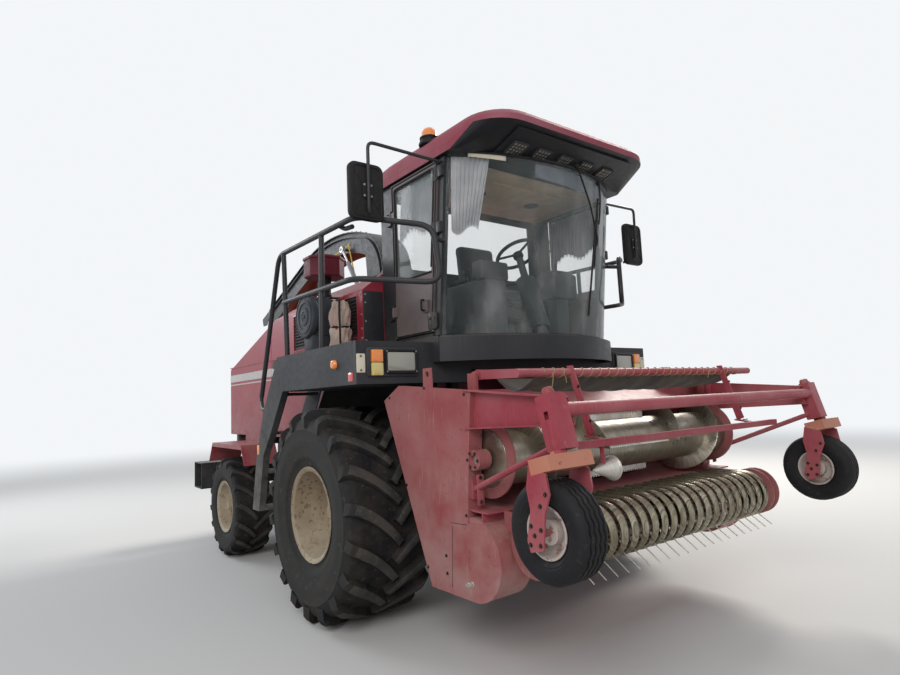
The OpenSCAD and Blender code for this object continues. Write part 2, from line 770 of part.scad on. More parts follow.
module cab_glass() {
    color("#a9bcc0", 0.4) from_axle() {
        intersection() {
            lean_frame() translate([-post_x, 0, -60]) linear_extrude(post_h + 200)
                difference() {
                    polygon(bow(-1, 40));
                    polygon(bow(-1 - glass_t, 40));
                }
            block([post_x - 20, 1500], [-cab_y + 20, cab_y - 20], [deck_z + 52, roof_z - seat_gap]);
        }
        block([cab_rear + 4, cab_rear + 4 + glass_t], [-cab_y + 140 + seat_gap, cab_y - 140 - seat_gap],
            [2780 + seat_gap, 3360 - seat_gap]);
    }
}

// Levels of the roof: [rear x, front x, half width, height, corner radius]
roof_levels = [
    [-50, 1090, 980, roof_z, 60], [-50, 1110, 985, roof_z + 60, 80],
        [-45, visor_x - 10, 960, roof_z + 125, 330],
    [-30, visor_x, 940, roof_z + 165, 330], [0, visor_x - 60, 880, roof_z + 225, 300],
    [120, visor_x - 330, 600, roof_z + 305, 300]
];

module roof_level(l) {
    translate([0, 0, l[3]]) linear_extrude(1) hull() for (s = [-1, 1]) {
        translate([l[0] + 60, s * (l[2] - 60)]) circle(r = 60, $fn = 16);
        translate([l[1] - l[4], s * (l[2] - l[4])]) circle(r = l[4], $fn = 32);
    }
}

module cab_roof() {
    color("#8e2f3c") from_axle() difference() {
        hull() for (l = roof_levels) roof_level(l);
        translate(beacon_c - [0, 0, seat_gap]) cylinder(r = 66 + seat_gap, h = 300);
    }
}

// Mirrors on their tubes
module mirrors() {
    color("#1f2022") from_axle() both_sides() {
        pipe([[905, cab_y + 2.5, 3400], [830, 1530, 3450], [820, 1530, 2935], [730, 1434, 2919]], 14);
        hull() for (y = [1430, 1630], z = [2930, 3270])
            translate([765, y, z]) rotate([0, 90, 0]) cylinder(r = 40, h = 42, $fn = 24);
    }
}

module seat() {
    color("#3b3d42") from_axle() {
        block([130, 580], [-230, 230], [deck_z + 400, deck_z + 510]);
        block([200, 460], [-150, 150], [deck_z + 330 + seat_gap, deck_z + 401]);
        side_plate([-220, 220], [[110, 2500], [215, 2500], [160, 3040], [60, 3040]]);
    }
}

// Steering column with its wheel, and the console beside the seat
module cab_controls() {
    color("#232427") from_axle() {
        link([940, 0, deck_z + 62], [709, 0, 2825], 35);
        translate([695, 0, 2845]) rotate([0, -28, 0]) {
            rotate_extrude() translate([wheel_r - 16, 0]) circle(r = 14, $fn = 16);
            translate([0, 0, -40]) cylinder(r = 45, h = 50);
            for (a = [0, 120, 240]) rotate([0, 0, a]) block([0, wheel_r - 14], [-14, 14], [-8, 6]);
        }
        block([350, 900], [-560, -330], [deck_z + 50 + seat_gap, 2560]);
        block([780, 900], [-600, -300], [2559, 2700]);
    }
}

module air_cleaner() {
    color("#3a3c40") from_axle() {
        rod_y([-550, 2400], [-1440, -1390], 195);
        rod_y([-550, 2400], [-1391, -1190], 172);
        block([-640, -460], [-1400, -1200], [deck_z + seat_gap, 2290]);
        translate([-520, -1240, 2540]) cylinder(r = 60, h = 220);
        translate([-520, -1240, 2750]) cylinder(r = 190, h = 190, $fn = 8);
    }
}

module extinguisher() {
    color("#b9907c") from_axle() {
        translate([-130, -1290, deck_z + seat_gap]) cylinder(r = 80, h = 360);
        translate([-130, -1290, deck_z + 359]) cylinder(r1 = 80, r2 = 30, h = 60);
        translate([-130, -1290, deck_z + 418]) cylinder(r = 25, h = 50);
    }
}

// Spout

// The spout's outer line at a depth below it, from the root to the tip
function spout_line(d) = concat(
    arc(root_c, root_r - d, 0, root_a, 10),
    arc(bend_c, bend_r - d, root_a, end_a, 16),
    [spout_tip + d * [cos(end_a + 180), sin(end_a + 180)]]
);

module spout_band(y, low, high) {
    side_plate(y, concat(spout_line(low), reverse(spout_line(high))));
}

spout_hinge = [-turret_x + 240, turret_z + 12];

module spout_turret() {
    color("#2b2c2f") from_axle() difference() {
        union() {
            translate([-turret_x, 0, turret_z - 190 + seat_gap]) cylinder(r = 275, h = 30);
            translate([-turret_x, 0, turret_z - 190 + seat_gap]) cylinder(r = 235, h = 190 - seat_gap);
            both_sides() {
                side_plate([200, 215], concat(arc(spout_hinge, 35, -60, 160, 8),
                    [[-turret_x + 100, turret_z - 60], [-turret_x + 200, turret_z - 100]]));
                side_plate([193, 205], concat(arc(cyl_foot, 35, 100, 300, 8),
                    [[-turret_x - 100, turret_z - 160], [-turret_x - 100, turret_z - 60]]));
                rod_y(cyl_foot, [195, 262], 16);
                rod_y(spout_hinge, [spout_w / 2 - 4, 215], 14);
            }
        }
        translate([-turret_x, 0, turret_z - 200]) cylinder(r = 205, h = 250);
    }
}

module spout() {
    color("#2b2c2f") from_axle() {
        difference() {
            union() {
                spout_band([-spout_w / 2 - 30, spout_w / 2 + 30], 0, 10);
                both_sides() spout_band([spout_w / 2 - 8, spout_w / 2], 5, spout_depth);
                both_sides() spout_band([spout_w / 2, spout_w / 2 + 30], 60, 70);
                side_plate([-spout_w / 2, spout_w / 2], [
                    [root_c[0] + root_r - 400, turret_z + 6], [root_c[0] + root_r - 390, turret_z + 6],
                    [root_c[0] + root_r - 390, turret_z + 150], [root_c[0] + root_r - 400, turret_z + 150]
                ]);
                both_sides() side_plate([spout_w / 2 - 8, spout_w / 2], [
                    [root_c[0] + root_r - 400, turret_z + 6], [root_c[0] + root_r - 200, turret_z + 6],
                    [root_c[0] + root_r - 200, turret_z + 300], [root_c[0] + root_r - 430, turret_z + 300]
                ]);
                both_sides() {
                    side_plate([spout_w / 2, spout_w / 2 + 8], concat(arc(spout_hinge, 34, -70, 100, 8),
                        [[spout_hinge[0] - 120, turret_z + 130], [spout_hinge[0] - 90, turret_z + 10]]));
                    rod_y(rod_eye, [spout_w / 2 - 1, 262], 16);
                }
            }
            rod_y(spout_hinge, [-260, 260], 14 + run_gap);
            both_sides() side_plate([spout_w / 2, spout_w / 2 + 40],
                [at_tip(-45, 20), at_tip(10, 20), at_tip(10, 100), at_tip(-45, 100)]);
        }
        both_sides() rod_y(flap_hinge, [spout_w / 2 - 4, spout_w / 2 + 24], 8);
    }
}

// A point beyond the spout's tip: how far along, then how far below its outer line
function at_tip(along, below) = spout_tip + along * end_dir - below * [cos(end_a), sin(end_a)];
flap_hinge = at_tip(0, 35);

module spout_flap() {
    end = flap_gap + flap_l;
    y = [spout_w / 2 + 12, spout_w / 2 + 20];
    color("#2b2c2f") from_axle() difference() {
        union() {
            side_plate([-y[1], y[1]], [at_tip(flap_gap, 0), at_tip(end, 0), at_tip(end, 8),
                at_tip(flap_gap, 8)]);
            both_sides() {
                side_plate(y, [at_tip(flap_gap, 0), at_tip(end, 0), at_tip(end, 120), at_tip(196, 170),
                    at_tip(0, 51), at_tip(0, 19)]);
                rod_y(flap_hinge, y, 16);
            }
        }
        rod_y(flap_hinge, [-260, 260], 8 + run_gap);
    }
}

// Lift cylinders of the spout: barrels on the turret and rods on the spout
cyl_foot = [-turret_x - 250, turret_z - 110];
rod_eye = [-turret_x - 660, turret_z + 460];

// A barrel from a to b at y with an eye at a
module barrel(a, b, y, r, length, pin_r) {
    u = (b - a) / norm(b - a);
    difference() {
        union() {
            link([a[0] + u[0] * 30, y, a[1] + u[1] * 30],
                [a[0] + u[0] * length, y, a[1] + u[1] * length], r);
            rod_y(a, [y - r * 0.8, y + r * 0.8], pin_r + 16);
        }
        rod_y(a, [y - 100, y + 100], pin_r + run_gap);
        link([a[0] + u[0] * 90, y, a[1] + u[1] * 90], [b[0], y, b[1]], r * 0.5 + run_gap);
    }
}

// The rod that slides in it, with an eye at b
module ram(a, b, y, r, start, pin_r) {
    u = (b - a) / norm(b - a);
    difference() {
        union() {
            link([a[0] + u[0] * start, y, a[1] + u[1] * start], [b[0] - u[0] * 20, y, b[1] - u[1] * 20],
                r * 0.5);
            rod_y(b, [y - r * 0.8, y + r * 0.8], pin_r + eye_play + 12);
        }
        rod_y(b, [y - 100, y + 100], pin_r + eye_play);
    }
}

module spout_cylinders() {
    color("#4a4c50") from_axle() both_sides() barrel(cyl_foot, rod_eye, 240, 27, 470, 16);
}

module spout_rods() {
    color("#b8bcc0") from_axle() both_sides() ram(cyl_foot, rod_eye, 240, 27, 350, 16);
}

// Header

// Corners of a side plate: rear top, rear corner, bottom back, tip, and its front edge
plate_top = [810, 1730];
plate_rear = [610, 1630];
plate_low = [1130, 450];
plate_front_low = [1520, 890];
plate_front_top = [1600, 1670];
nose_c = [1560, 690];
nose_r = 240;
side_outline = concat([plate_top, plate_rear, plate_low, [1480, 450]], arc(nose_c, nose_r, -95, 60, 14),
    [[1540, 890], plate_front_low, plate_front_top]);
trough_r = auger_r + trough_gap;
bar_c = [2350, 1550];

module header_side() {
    y = header_y - 40;
    side_plate([header_y - sheet_t, header_y], side_outline);
    fold([y, header_y - 1], [plate_front_top, plate_top, plate_rear, plate_low], 12);
    side_plate([post_y, header_y - sheet_t + 1], front_post(0));
    rod_y(nose_c, [nose_y, header_y - sheet_t + 1], nose_r - 4);
    rod_y(auger_c, [post_y, header_y - sheet_t + 1], 60);
}

// The post along a side plate's front edge, grown by g, and where it and the nose begin across
post_y = header_y - 100;
nose_y = header_y - 240;
function front_post(g) = [
    plate_front_low + [g, -g], plate_front_top + [g, g], plate_front_top + [-60 - g, 4 + g],
        plate_front_low + [-60 - g, -g]
];

module header_sides() {
    color("#9a3440") from_axle() difference() {
        both_sides() {
            header_side();
            lifting_eye();
            reel_bearing();
        }
        rod_y(auger_c, [-header_y - 50, header_y + 50], 30 + run_gap);
        rod_y(reel_c, [-header_y - 50, header_y + 50], 25 + run_gap);
        both_sides() rod_y([1160, 1790], [header_y - 30, header_y + 10], 20);
    }
}

// The pick-up's bearing on its bracket, between two round shields
module reel_bearing() {
    for (y = [1150, 1222]) rod_y(reel_c, [y, y + 14], band_r + 2);
    rod_y(reel_c, [1151, 1235], 55);
    side_plate([1180, 1200], [[1700, 965], [1700, 870], [1950, 770], [2000, 840], [1900, 960]]);
}

module lifting_eye() {
    side_plate([header_y - sheet_t, header_y], [[1110, 1700], [1210, 1695], [1205, 1830], [1115, 1830]]);
    block([guard_c[0] - 60, guard_c[0] + 20], [1215, 1235], [1640, guard_c[1] + 10]);
    rod_y(guard_c, [1170, 1236], 20);
}

// The sheet round the auger: trough, floor, front wall and bottom
trough = concat(
    [[1060, 1640], [1070, 1650]], [[1450, 1260 + trough_r * 0.87 + 12]],
    arc(auger_c, trough_r, 120, 270, 20), [[1700, auger_c[1] - trough_r],
        [1700, auger_c[1] - trough_r - sheet_t]],
    reverse(arc(auger_c, trough_r + sheet_t, 125, 270, 20))
);

module header_trough() {
    y = header_y - sheet_t - seat_gap;
    color("#8d3240") from_axle() difference() {
        union() {
            side_plate([-y, y], trough);
            side_plate([-y, y], [
                [1600, auger_c[1] - trough_r - 5], [1650, auger_c[1] - trough_r - 5], [1650, 590],
                [1200, 455], [1190, 465], [1640, 600], [1640, auger_c[1] - trough_r - 10],
                    [1600, auger_c[1] - trough_r - 10]
            ]);
            side_plate([-y, y], [[1190, 460], [1205, 460], [1320, 1120], [1305, 1120]]);
            block([1040, 1075], [-y, y], [1560, 1645]);
            block([930, 1050], [-y, y], [1560, 1680]);
        }
        block([1100, 1450], [-413 - seat_gap, 413 + seat_gap], [900, 1445]);
        both_sides() {
            side_plate([post_y - seat_gap, header_y], front_post(seat_gap));
            rod_y(nose_c, [nose_y - seat_gap, header_y], nose_r - 4 + seat_gap);
        }
    }
}

// The arms that carry the castors, their brackets and struts, and the bar between them
module header_arms() {
    color("#9a3440") from_axle() {
        difference() {
            both_sides() {
                side_plate([1290, 1298], [[1545, 1675], [2330, 1610], [2360, 1470], [1540, 1440]]);
                fold([1290, 1345], [[2330, 1610], [1545, 1675]], 8);
                fold([1290, 1345], [[1540, 1440], [2360, 1470]], 8);
                link([1560, header_y - 40, 1090], [2350, gauge_y - 90, 1395], 18);
                block([1500, 1560], [header_y - 60, header_y - 20], [1030, 1150]);
            }
            both_sides() side_plate([post_y - 10, header_y + seat_gap], [
                plate_front_low + [seat_gap, 0], plate_front_top + [seat_gap, 0],
                    plate_front_top + [seat_gap, 20],
                [1400, 1700], [1400, 890]
            ]);
        }
        both_sides() castor_bracket();
        rod_y(bar_c, [-1400, 1400], 35);
    }
}

module castor_bracket() {
    translate([neck_c[0], gauge_y - 30, neck_c[1]]) rotate([0, -castor_lean, 0]) difference() {
        block([-50, 50], [-65, 50], [20 + seat_gap, 290]);
        translate([0, 30, 10]) cylinder(r = 24 + run_gap, h = 200);
    }
}

module feeder() {
    color("#7d2b35") from_axle() difference() {
        union() {
            both_sides() side_plate([393, 413], concat(arc(lift_c, 70, 90, 270, 10),
                [[-150, 915], [1240, 930], [1290, 1000], [1335, 1430], [-100, 1320], [-170, 1070]]));
            side_plate([-413, 413], [[-100, 1320], [1335, 1430], [1335, 1440], [-100, 1332]]);
            side_plate([-413, 413], [[-100, 905], [1200, 920], [1200, 930], [-100, 915]]);
            rod_y(lift_eye, [-700, 700], 22);
            both_sides() block([lift_eye[0] - 50, lift_eye[0] + 50], [393, 450], [lift_eye[1] - 30, 930]);
        }
        rod_y(lift_c, [-450, 450], 40 + run_gap);
    }
}

lift_eye = [950, 790];
lift_barrel_r = 31;
module lift_cylinders() {
    color("#4a4c50") from_axle() both_sides() barrel(foot_c, lift_eye, 640, lift_barrel_r, 470, 18);
}

module lift_rods() {
    color("#b8bcc0") from_axle() both_sides() ram(foot_c, lift_eye, 640, lift_barrel_r, 330, 22);
}

// One run of flight outwards from the middle: a strip swept along a helix, 4 points to a section
flight_l = 790;
flight_turns = 1.5;
flight_steps = 30;
module flight() {
    low_r = (drum_r + seat_gap) / cos(flight_turns * 180 / flight_steps);
    pts = [for (i = [0 : flight_steps], c = [[low_r, 0], [auger_r, 0], [auger_r, 8], [low_r, 8]])
        let (a = i / flight_steps * flight_turns * 360)
        [c[0] * cos(a), i / flight_steps * flight_l + c[1], c[0] * sin(a)]];
    faces = [for (i = [0 : flight_steps - 1], k = [0 : 3]) let (a = 4 * i + k, b = 4 * i + (k + 1) % 4)
        each [[a, b + 4, b], [a, a + 4, b + 4]]];
    n = 4 * flight_steps;
    polyhedron(pts, concat(faces, [[0, 2, 3], [0, 1, 2], [n, n + 2, n + 1], [n, n + 3, n + 2]]),
        convexity = 8);
}

module header_auger() {
    color("#a9a69c") from_axle() translate([auger_c[0], 0, auger_c[1]]) {
        rod_y([0, 0], [-1215, 1215], drum_r);
        rod_y([0, 0], [-1300, 1300], 30);
        both_sides() translate([0, 390, 0]) flight();
        for (a = [0 : 90 : 270]) rotate([0, a, 0]) block([drum_r - 10, drum_r + 45], [-340, 340], [-6, 6]);
        both_sides() rod_y([0, 0], [1195, 1215], auger_r - 30);
    }
}

// Pick-up

band_pitch = 2 * 1100 / band_count;
band_w = band_pitch * 0.62;

module pickup_bands() {
    color("#8f8c84") from_axle() for (i = [0 : band_count - 1]) {
        y = -1100 + (i + 0.5) * band_pitch;
        side_plate([y - band_w / 2, y + band_w / 2], concat(
            [[1700 + seat_gap, reel_c[1] + band_r], [reel_c[0], reel_c[1] + band_r]],
            arc(reel_c, band_r, 80, -90, 16), [[1650 + seat_gap, 600], [1650 + seat_gap, 606]],
            reverse(arc(reel_c, band_r - 5, 80, -90, 16)),
            [[reel_c[0], reel_c[1] + band_r - 5], [1700 + seat_gap, reel_c[1] + band_r - 5]]));
    }
}

// Rows of tines: [angle down from straight ahead, fold back from straight out, length].
// Where the rows pass over the top they lie folded under the bands.
tine_bar_r = 110;
tine_rows = [[45, 0, tine_r - tine_bar_r], [135, 0, tine_r - tine_bar_r], [225, 110, 150], [315, 110, 150]];

module pickup_reel() {
    color("#6d6a62") from_axle() translate([reel_c[0], 0, reel_c[1]]) {
        rod_y([0, 0], [-1225, 1225], 25);
        for (row = tine_rows) rotate([0, row[0], 0]) {
            rod_y([tine_bar_r, 0], [-1120, 1120], 14);
            for (i = [1 : band_count - 1])
                translate([tine_bar_r, -1100 + i * band_pitch, 0]) rotate([0, 90 + row[1], 0])
                    cylinder(r = 4, h = row[2], $fn = 6);
        }
        for (y = [-1120, 0, 1120]) rod_y([0, 0], [y - 5, y + 5], 125);
    }
}

// Wind guard

guard_bar = [1950, 1750];
cloth_bar = [1570, 1752];
module wind_guard() {
    color("#9a3440") from_axle() {
        difference() {
            both_sides() {
                rod_y(guard_c, [1175, 1205], 32);
                side_plate([1175, 1205], [guard_c + [0, -30], guard_bar + [0, -25], guard_bar + [0, 25],
                    guard_c + [0, 30]]);
            }
            rod_y(guard_c, [-1300, 1300], 20 + run_gap);
        }
        rod_y(guard_bar, [-1280, 1280], 25);
        rod_y(cloth_bar, [-1190, 1190], 10);
        both_sides() {
            side_plate([840, 852], [[1935, 1790], [1975, 1790], [2110, 1395], [2060, 1375]]);
            side_plate([820, 870], [[2050, 1375], [2195, 1352], [2195, 1362], [2050, 1385]]);
        }
        block([2180, 2220], [-1115, 1115], [1360, 1368]);
        block([2212, 2220], [-1115, 1115], [1330, 1368]);
    }
}

// The cloth laced to the top bar, sagging back to the thin rear bar
module wind_cloth() {
    from = guard_bar[0] - 25 - seat_gap;
    length = from - cloth_bar[0] - 10 - seat_gap;
    sag = [for (i = [0 : 10]) let (t = i / 10) [from - length * t,
        guard_bar[1] - 10 * t - 420 * t * (1 - t)]];
    color("#45413c") from_axle()
        side_plate([-1100, 1100], concat(sag, reverse([for (p = sag) p + [0, 6]])));
}

// Gauge wheels on their castors

module castor() {
    translate([neck_c[0], 0, neck_c[1]]) rotate([0, -castor_lean, 0]) {
        translate([0, gauge_y, -10]) cylinder(r = 24, h = 180);
        translate([0, gauge_y, 0]) cylinder(r = 40, h = 20);
        block([-60, 70], [gauge_y - 150, gauge_y + 150], [-70, 0]);
    }
    both_sides_of(gauge_y) side_plate([140, 150], [
        [2330, 1300], [2440, 1270], [2455, 1180], [2420, 1090], [2400, 930], [2320, 910], [2300, 960],
            [2330, 1100], [2310, 1200]
    ]);
    rod_y(gauge_c, [gauge_y - 150, gauge_y + 150], 16);
}

// A thing drawn at y and its mirror image, about a middle plane
module both_sides_of(y) {
    translate([0, y, 0]) both_sides() children();
}

module gauge_wheel() {
    translate([gauge_c[0], gauge_y, gauge_c[1]]) rotate([-90, 0, 0]) rotate_extrude($fn = 48) polygon([
        [16 + run_gap, -60], [60, -60], [60, -20], [118, -20], [118, -70], [gauge_r - 30, -gauge_w / 2],
        [gauge_r - 5, -gauge_w / 2 + 15], [gauge_r, -40], [gauge_r, 40], [gauge_r - 5, gauge_w / 2 - 15],
        [gauge_r - 30, gauge_w / 2], [118, 70], [118, -8], [60, -8], [60, 60], [16 + run_gap, 60]
    ]);
}

module castor_left() {
    color("#9a3440") from_axle() castor();
}

module castor_right() {
    color("#9a3440") from_axle() mirror([0, 1, 0]) castor();
}

module gauge_wheel_left() {
    color("#1c1c1d") from_axle() gauge_wheel();
}

module gauge_wheel_right() {
    color("#1c1c1d") from_axle() mirror([0, 1, 0]) gauge_wheel();
}

chassis_frame();
chopper_housing();
bumper();
front_axle();
rear_axle();
engine_block();
engine_hood();
hood_grilles();
rear_mudguards();
wheel_arches();
front_fenders();
platforms();
handrails();
front_panel();
lamps();
cab_floor();
cab_frame();
cab_glass();
cab_roof();
mirrors();
seat();
cab_controls();
air_cleaner();
extinguisher();
door_left();
door_left_glass();
door_right();
door_right_glass();
front_tyre_left();
front_rim_left();
front_tyre_right();
front_rim_right();
rear_tyre_left();
rear_rim_left();
rear_tyre_right();
rear_rim_right();
knuckle_left();
knuckle_right();
spout_turret();
spout();
spout_flap();
spout_cylinders();
spout_rods();
header_sides();
header_trough();
header_arms();
feeder();
header_auger();
pickup_reel();
pickup_bands();
wind_guard();
wind_cloth();
castor_left();
castor_right();
gauge_wheel_left();
gauge_wheel_right();
lift_cylinders();
lift_rods();
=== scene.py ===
import json
import math

import bmesh
import bpy
from mathutils import Matrix, Vector


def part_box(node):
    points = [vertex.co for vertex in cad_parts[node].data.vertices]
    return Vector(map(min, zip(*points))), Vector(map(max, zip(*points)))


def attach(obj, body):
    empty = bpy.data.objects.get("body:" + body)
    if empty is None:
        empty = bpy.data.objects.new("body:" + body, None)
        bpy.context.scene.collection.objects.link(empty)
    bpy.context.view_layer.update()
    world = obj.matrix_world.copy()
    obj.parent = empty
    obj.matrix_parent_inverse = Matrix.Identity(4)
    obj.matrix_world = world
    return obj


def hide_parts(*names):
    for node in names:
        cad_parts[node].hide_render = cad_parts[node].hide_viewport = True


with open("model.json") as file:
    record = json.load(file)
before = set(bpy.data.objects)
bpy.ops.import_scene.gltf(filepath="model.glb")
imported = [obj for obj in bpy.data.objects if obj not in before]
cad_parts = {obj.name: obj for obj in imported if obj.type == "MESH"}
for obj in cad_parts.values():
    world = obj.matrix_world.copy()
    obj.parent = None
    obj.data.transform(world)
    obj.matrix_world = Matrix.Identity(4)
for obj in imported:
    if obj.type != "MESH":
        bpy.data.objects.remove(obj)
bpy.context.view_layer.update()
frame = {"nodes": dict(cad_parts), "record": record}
nodes = frame["nodes"]
record = frame["record"]
nodeBodies = {node: body for body, members in record["behaviour"]["bodies"].items() for node in members}


def middle(node):
    low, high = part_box(node)
    return (low + high) / 2


frontAxle = middle("front_rim_left").x


def at(x, y, z):
    # metres ahead of the front axle, to the left and up
    return Vector((frontAxle + x, y, z))


def newObject(name, data):
    made = bpy.data.objects.new(name, data)
    bpy.context.scene.collection.objects.link(made)
    return made


def asMesh(bm, name="seed"):
    mesh = bpy.data.meshes.new(name)
    bm.to_mesh(mesh)
    bm.free()
    return mesh


# shader nodes


def isSocket(value):
    return isinstance(value, bpy.types.NodeSocket)


def fill(tree, node, values):
    # links each named or numbered socket, or gives it a fixed value
    for key, value in values.items():
        if isSocket(value):
            tree.links.new(value, node.inputs[key])
        else:
            node.inputs[key].default_value = value
    return node


def addNode(tree, kind, settings=None, **inputs):
    made = tree.nodes.new(kind)
    for key, value in (settings or {}).items():
        setattr(made, key, value)
    return fill(tree, made, {key.replace("_", " "): value for key, value in inputs.items()})


def maths(tree, operation, a, b):
    made = addNode(tree, "ShaderNodeMath", {"operation": operation})
    return fill(tree, made, {0: a, 1: b}).outputs[0]


def times(tree, a, b):
    return maths(tree, "MULTIPLY", a, b)


def seenByEye(tree):
    # 1 where the camera, a mirror or glass looks, 0 where light is gathered
    rays = tree.nodes.new("ShaderNodeLightPath").outputs
    seen = maths(tree, "MAXIMUM", rays["Is Camera Ray"], rays["Is Glossy Ray"])
    return maths(tree, "MAXIMUM", seen, rays["Is Transmission Ray"])


def mixShaders(tree, factor, first, second, outKind):
    mixed = tree.nodes.new("ShaderNodeMixShader")
    fill(tree, mixed, {0: factor, 1: first.outputs[0], 2: second.outputs[0]})
    fill(tree, tree.nodes.new(outKind), {0: mixed.outputs[0]})


# camera, lights and floor

cameraLook = {
    "place": (4.352, -3.557, 1.621),
    "yaw": 142.72,
    "pitch": 5.93,
    "roll": -2.49,
    "lens": 23.824,
    "sensor": 36,
    "reach": 200,
}


def setCamera():
    yaw, pitch, roll = (math.radians(cameraLook[key]) for key in ("yaw", "pitch", "roll"))
    ahead = Vector((math.cos(pitch) * math.cos(yaw), math.cos(pitch) * math.sin(yaw), math.sin(pitch)))
    right = Vector((math.sin(yaw), -math.cos(yaw), 0))
    up = right.cross(ahead)
    tiltedRight = math.cos(roll) * right + math.sin(roll) * up
    tiltedUp = math.cos(roll) * up - math.sin(roll) * right
    camera = newObject("camera", bpy.data.cameras.new("camera"))
    camera.data.sensor_width = cameraLook["sensor"]
    camera.data.lens = cameraLook["lens"]
    camera.data.clip_end = cameraLook["reach"]
    turn = Matrix((tiltedRight, tiltedUp, -ahead)).transposed().to_4x4()
    camera.matrix_world = Matrix.Translation(at(*cameraLook["place"])) @ turn
    bpy.context.scene.camera = camera


lightLook = {
    "skyStrength": 0.42,
    "skyColour": (0.86, 0.92, 1.0, 1),
    "backColour": (0.9, 0.92, 0.94, 1),
    "floorColour": (0.72, 0.71, 0.69, 1),
    "floorRadius": 60,
    "floorEnds": (6, 24),
}
# name: place, what it points at, size, power, colour
lightTable = {
    "sunSide": ((-3, 9, 9), (-0.5, 0, 1.5), (5, 5), 1150, (1.0, 0.96, 0.9)),
    "keySide": ((7, -8, 6.5), (0, 0, 1.5), (6, 5), 560, (1.0, 0.98, 0.96)),
    "rearSide": ((-10, -5, 6), (-2, 0, 1.5), (5, 4), 330, (0.92, 0.96, 1.0)),
}


def areaLight(name, place, target, size, power, colour):
    light = newObject(name, bpy.data.lights.new(name, "AREA"))
    light.data.shape = "RECTANGLE"
    light.data.size, light.data.size_y = size
    light.data.energy = power
    light.data.color = colour
    light.location = at(*place)
    light.rotation_euler = (at(*target) - light.location).to_track_quat("-Z", "Y").to_euler()


def setLights():
    world = bpy.data.worlds.new("studio")
    world.use_nodes = True
    tree = world.node_tree
    tree.nodes.clear()
    sky = addNode(tree, "ShaderNodeBackground", Color=lightLook["skyColour"],
        Strength=lightLook["skyStrength"])
    back = addNode(tree, "ShaderNodeBackground", Color=lightLook["backColour"])
    mixShaders(tree, seenByEye(tree), sky, back, "ShaderNodeOutputWorld")
    bpy.context.scene.world = world
    for name, values in lightTable.items():
        areaLight(name, *values)


def setFloor():
    bm = bmesh.new()
    bmesh.ops.create_circle(bm, cap_ends=True, segments=64, radius=lightLook["floorRadius"])
    floor = newObject("floor", asMesh(bm, "floor"))
    material = bpy.data.materials.new("paleFloor")
    material.use_nodes = True
    tree = material.node_tree
    tree.nodes.clear()
    diffuse = addNode(tree, "ShaderNodeBsdfDiffuse", Color=lightLook["floorColour"])
    glow = addNode(tree, "ShaderNodeEmission", Color=lightLook["backColour"])
    # the floor fades into the backdrop with its distance
    place = tree.nodes.new("ShaderNodeTexCoord").outputs["Object"]
    length = addNode(tree, "ShaderNodeVectorMath", {"operation": "LENGTH"})
    away = fill(tree, length, {0: place}).outputs["Value"]
    near, far = lightLook["floorEnds"]
    fade = addNode(tree, "ShaderNodeMapRange", {"interpolation_type": "SMOOTHSTEP"}, Value=away,
        From_Min=near, From_Max=far)
    farAndSeen = times(tree, fade.outputs[0], seenByEye(tree))
    mixShaders(tree, farAndSeen, diffuse, glow, "ShaderNodeOutputMaterial")
    floor.data.materials.append(material)


bpy.context.scene.view_settings.view_transform = "Standard"
setCamera()
setLights()
setFloor()
print("camera, lights and floor set")

# finishes


def startMaterial(name):
    material = bpy.data.materials.new(name)
    material.use_nodes = True
    tree = material.node_tree
    tree.nodes.clear()
    shader = tree.nodes.new("ShaderNodeBsdfPrincipled")
    fill(tree, tree.nodes.new("ShaderNodeOutputMaterial"), {0: shader.outputs[0]})
    return material, tree, shader


def objectPlace(tree, scale=(1, 1, 1), turn=(0, 0, 0)):
    place = tree.nodes.new("ShaderNodeTexCoord").outputs["Object"]
    if scale == (1, 1, 1) and turn == (0, 0, 0):
        return place
    angles = [math.radians(a) for a in turn]
    made = addNode(tree, "ShaderNodeMapping", {"vector_type": "POINT"}, Vector=place, Scale=scale,
        Rotation=angles)
    return made.outputs[0]


def band(tree, value, low, high, lowTo=0.0, highTo=1.0):
    made = addNode(tree, "ShaderNodeMapRange", Value=value, From_Min=low, From_Max=high, To_Min=lowTo,
        To_Max=highTo)
    return made.outputs[0]


def grain(tree, place, scale, detail, low, high, rough=0.55):
    # noise spread so that low becomes 0 and high becomes 1
    noise = addNode(tree, "ShaderNodeTexNoise", Scale=scale, Detail=detail, Roughness=rough, Vector=place)
    return band(tree, noise.outputs["Fac"], low, high)


def colourMix(tree, factor, first, second):
    made = addNode(tree, "ShaderNodeMix", {"data_type": "RGBA"})
    first, second = (c if isSocket(c) else (*c[:3], 1) for c in (first, second))
    return fill(tree, made, {0: factor, 6: first, 7: second}).outputs[2]


def layer(tree, under, over, *amounts):
    # the colour over lies on the colour under, by the product of the amounts
    factor = amounts[0]
    for amount in amounts[1:]:
        factor = times(tree, factor, amount)
    return colourMix(tree, factor, under, over)


def heightOf(tree):
    return addNode(tree, "ShaderNodeSeparateXYZ", Vector=objectPlace(tree)).outputs["Z"]


def upFacing(tree):
    normal = tree.nodes.new("ShaderNodeNewGeometry").outputs["Normal"]
    return addNode(tree, "ShaderNodeSeparateXYZ", Vector=normal).outputs["Z"]


def addBump(tree, shader, height, strength, distance):
    bump = addNode(tree, "ShaderNodeBump", Height=height, Strength=strength, Distance=distance)
    fill(tree, shader, {"Normal": bump.outputs[0]})


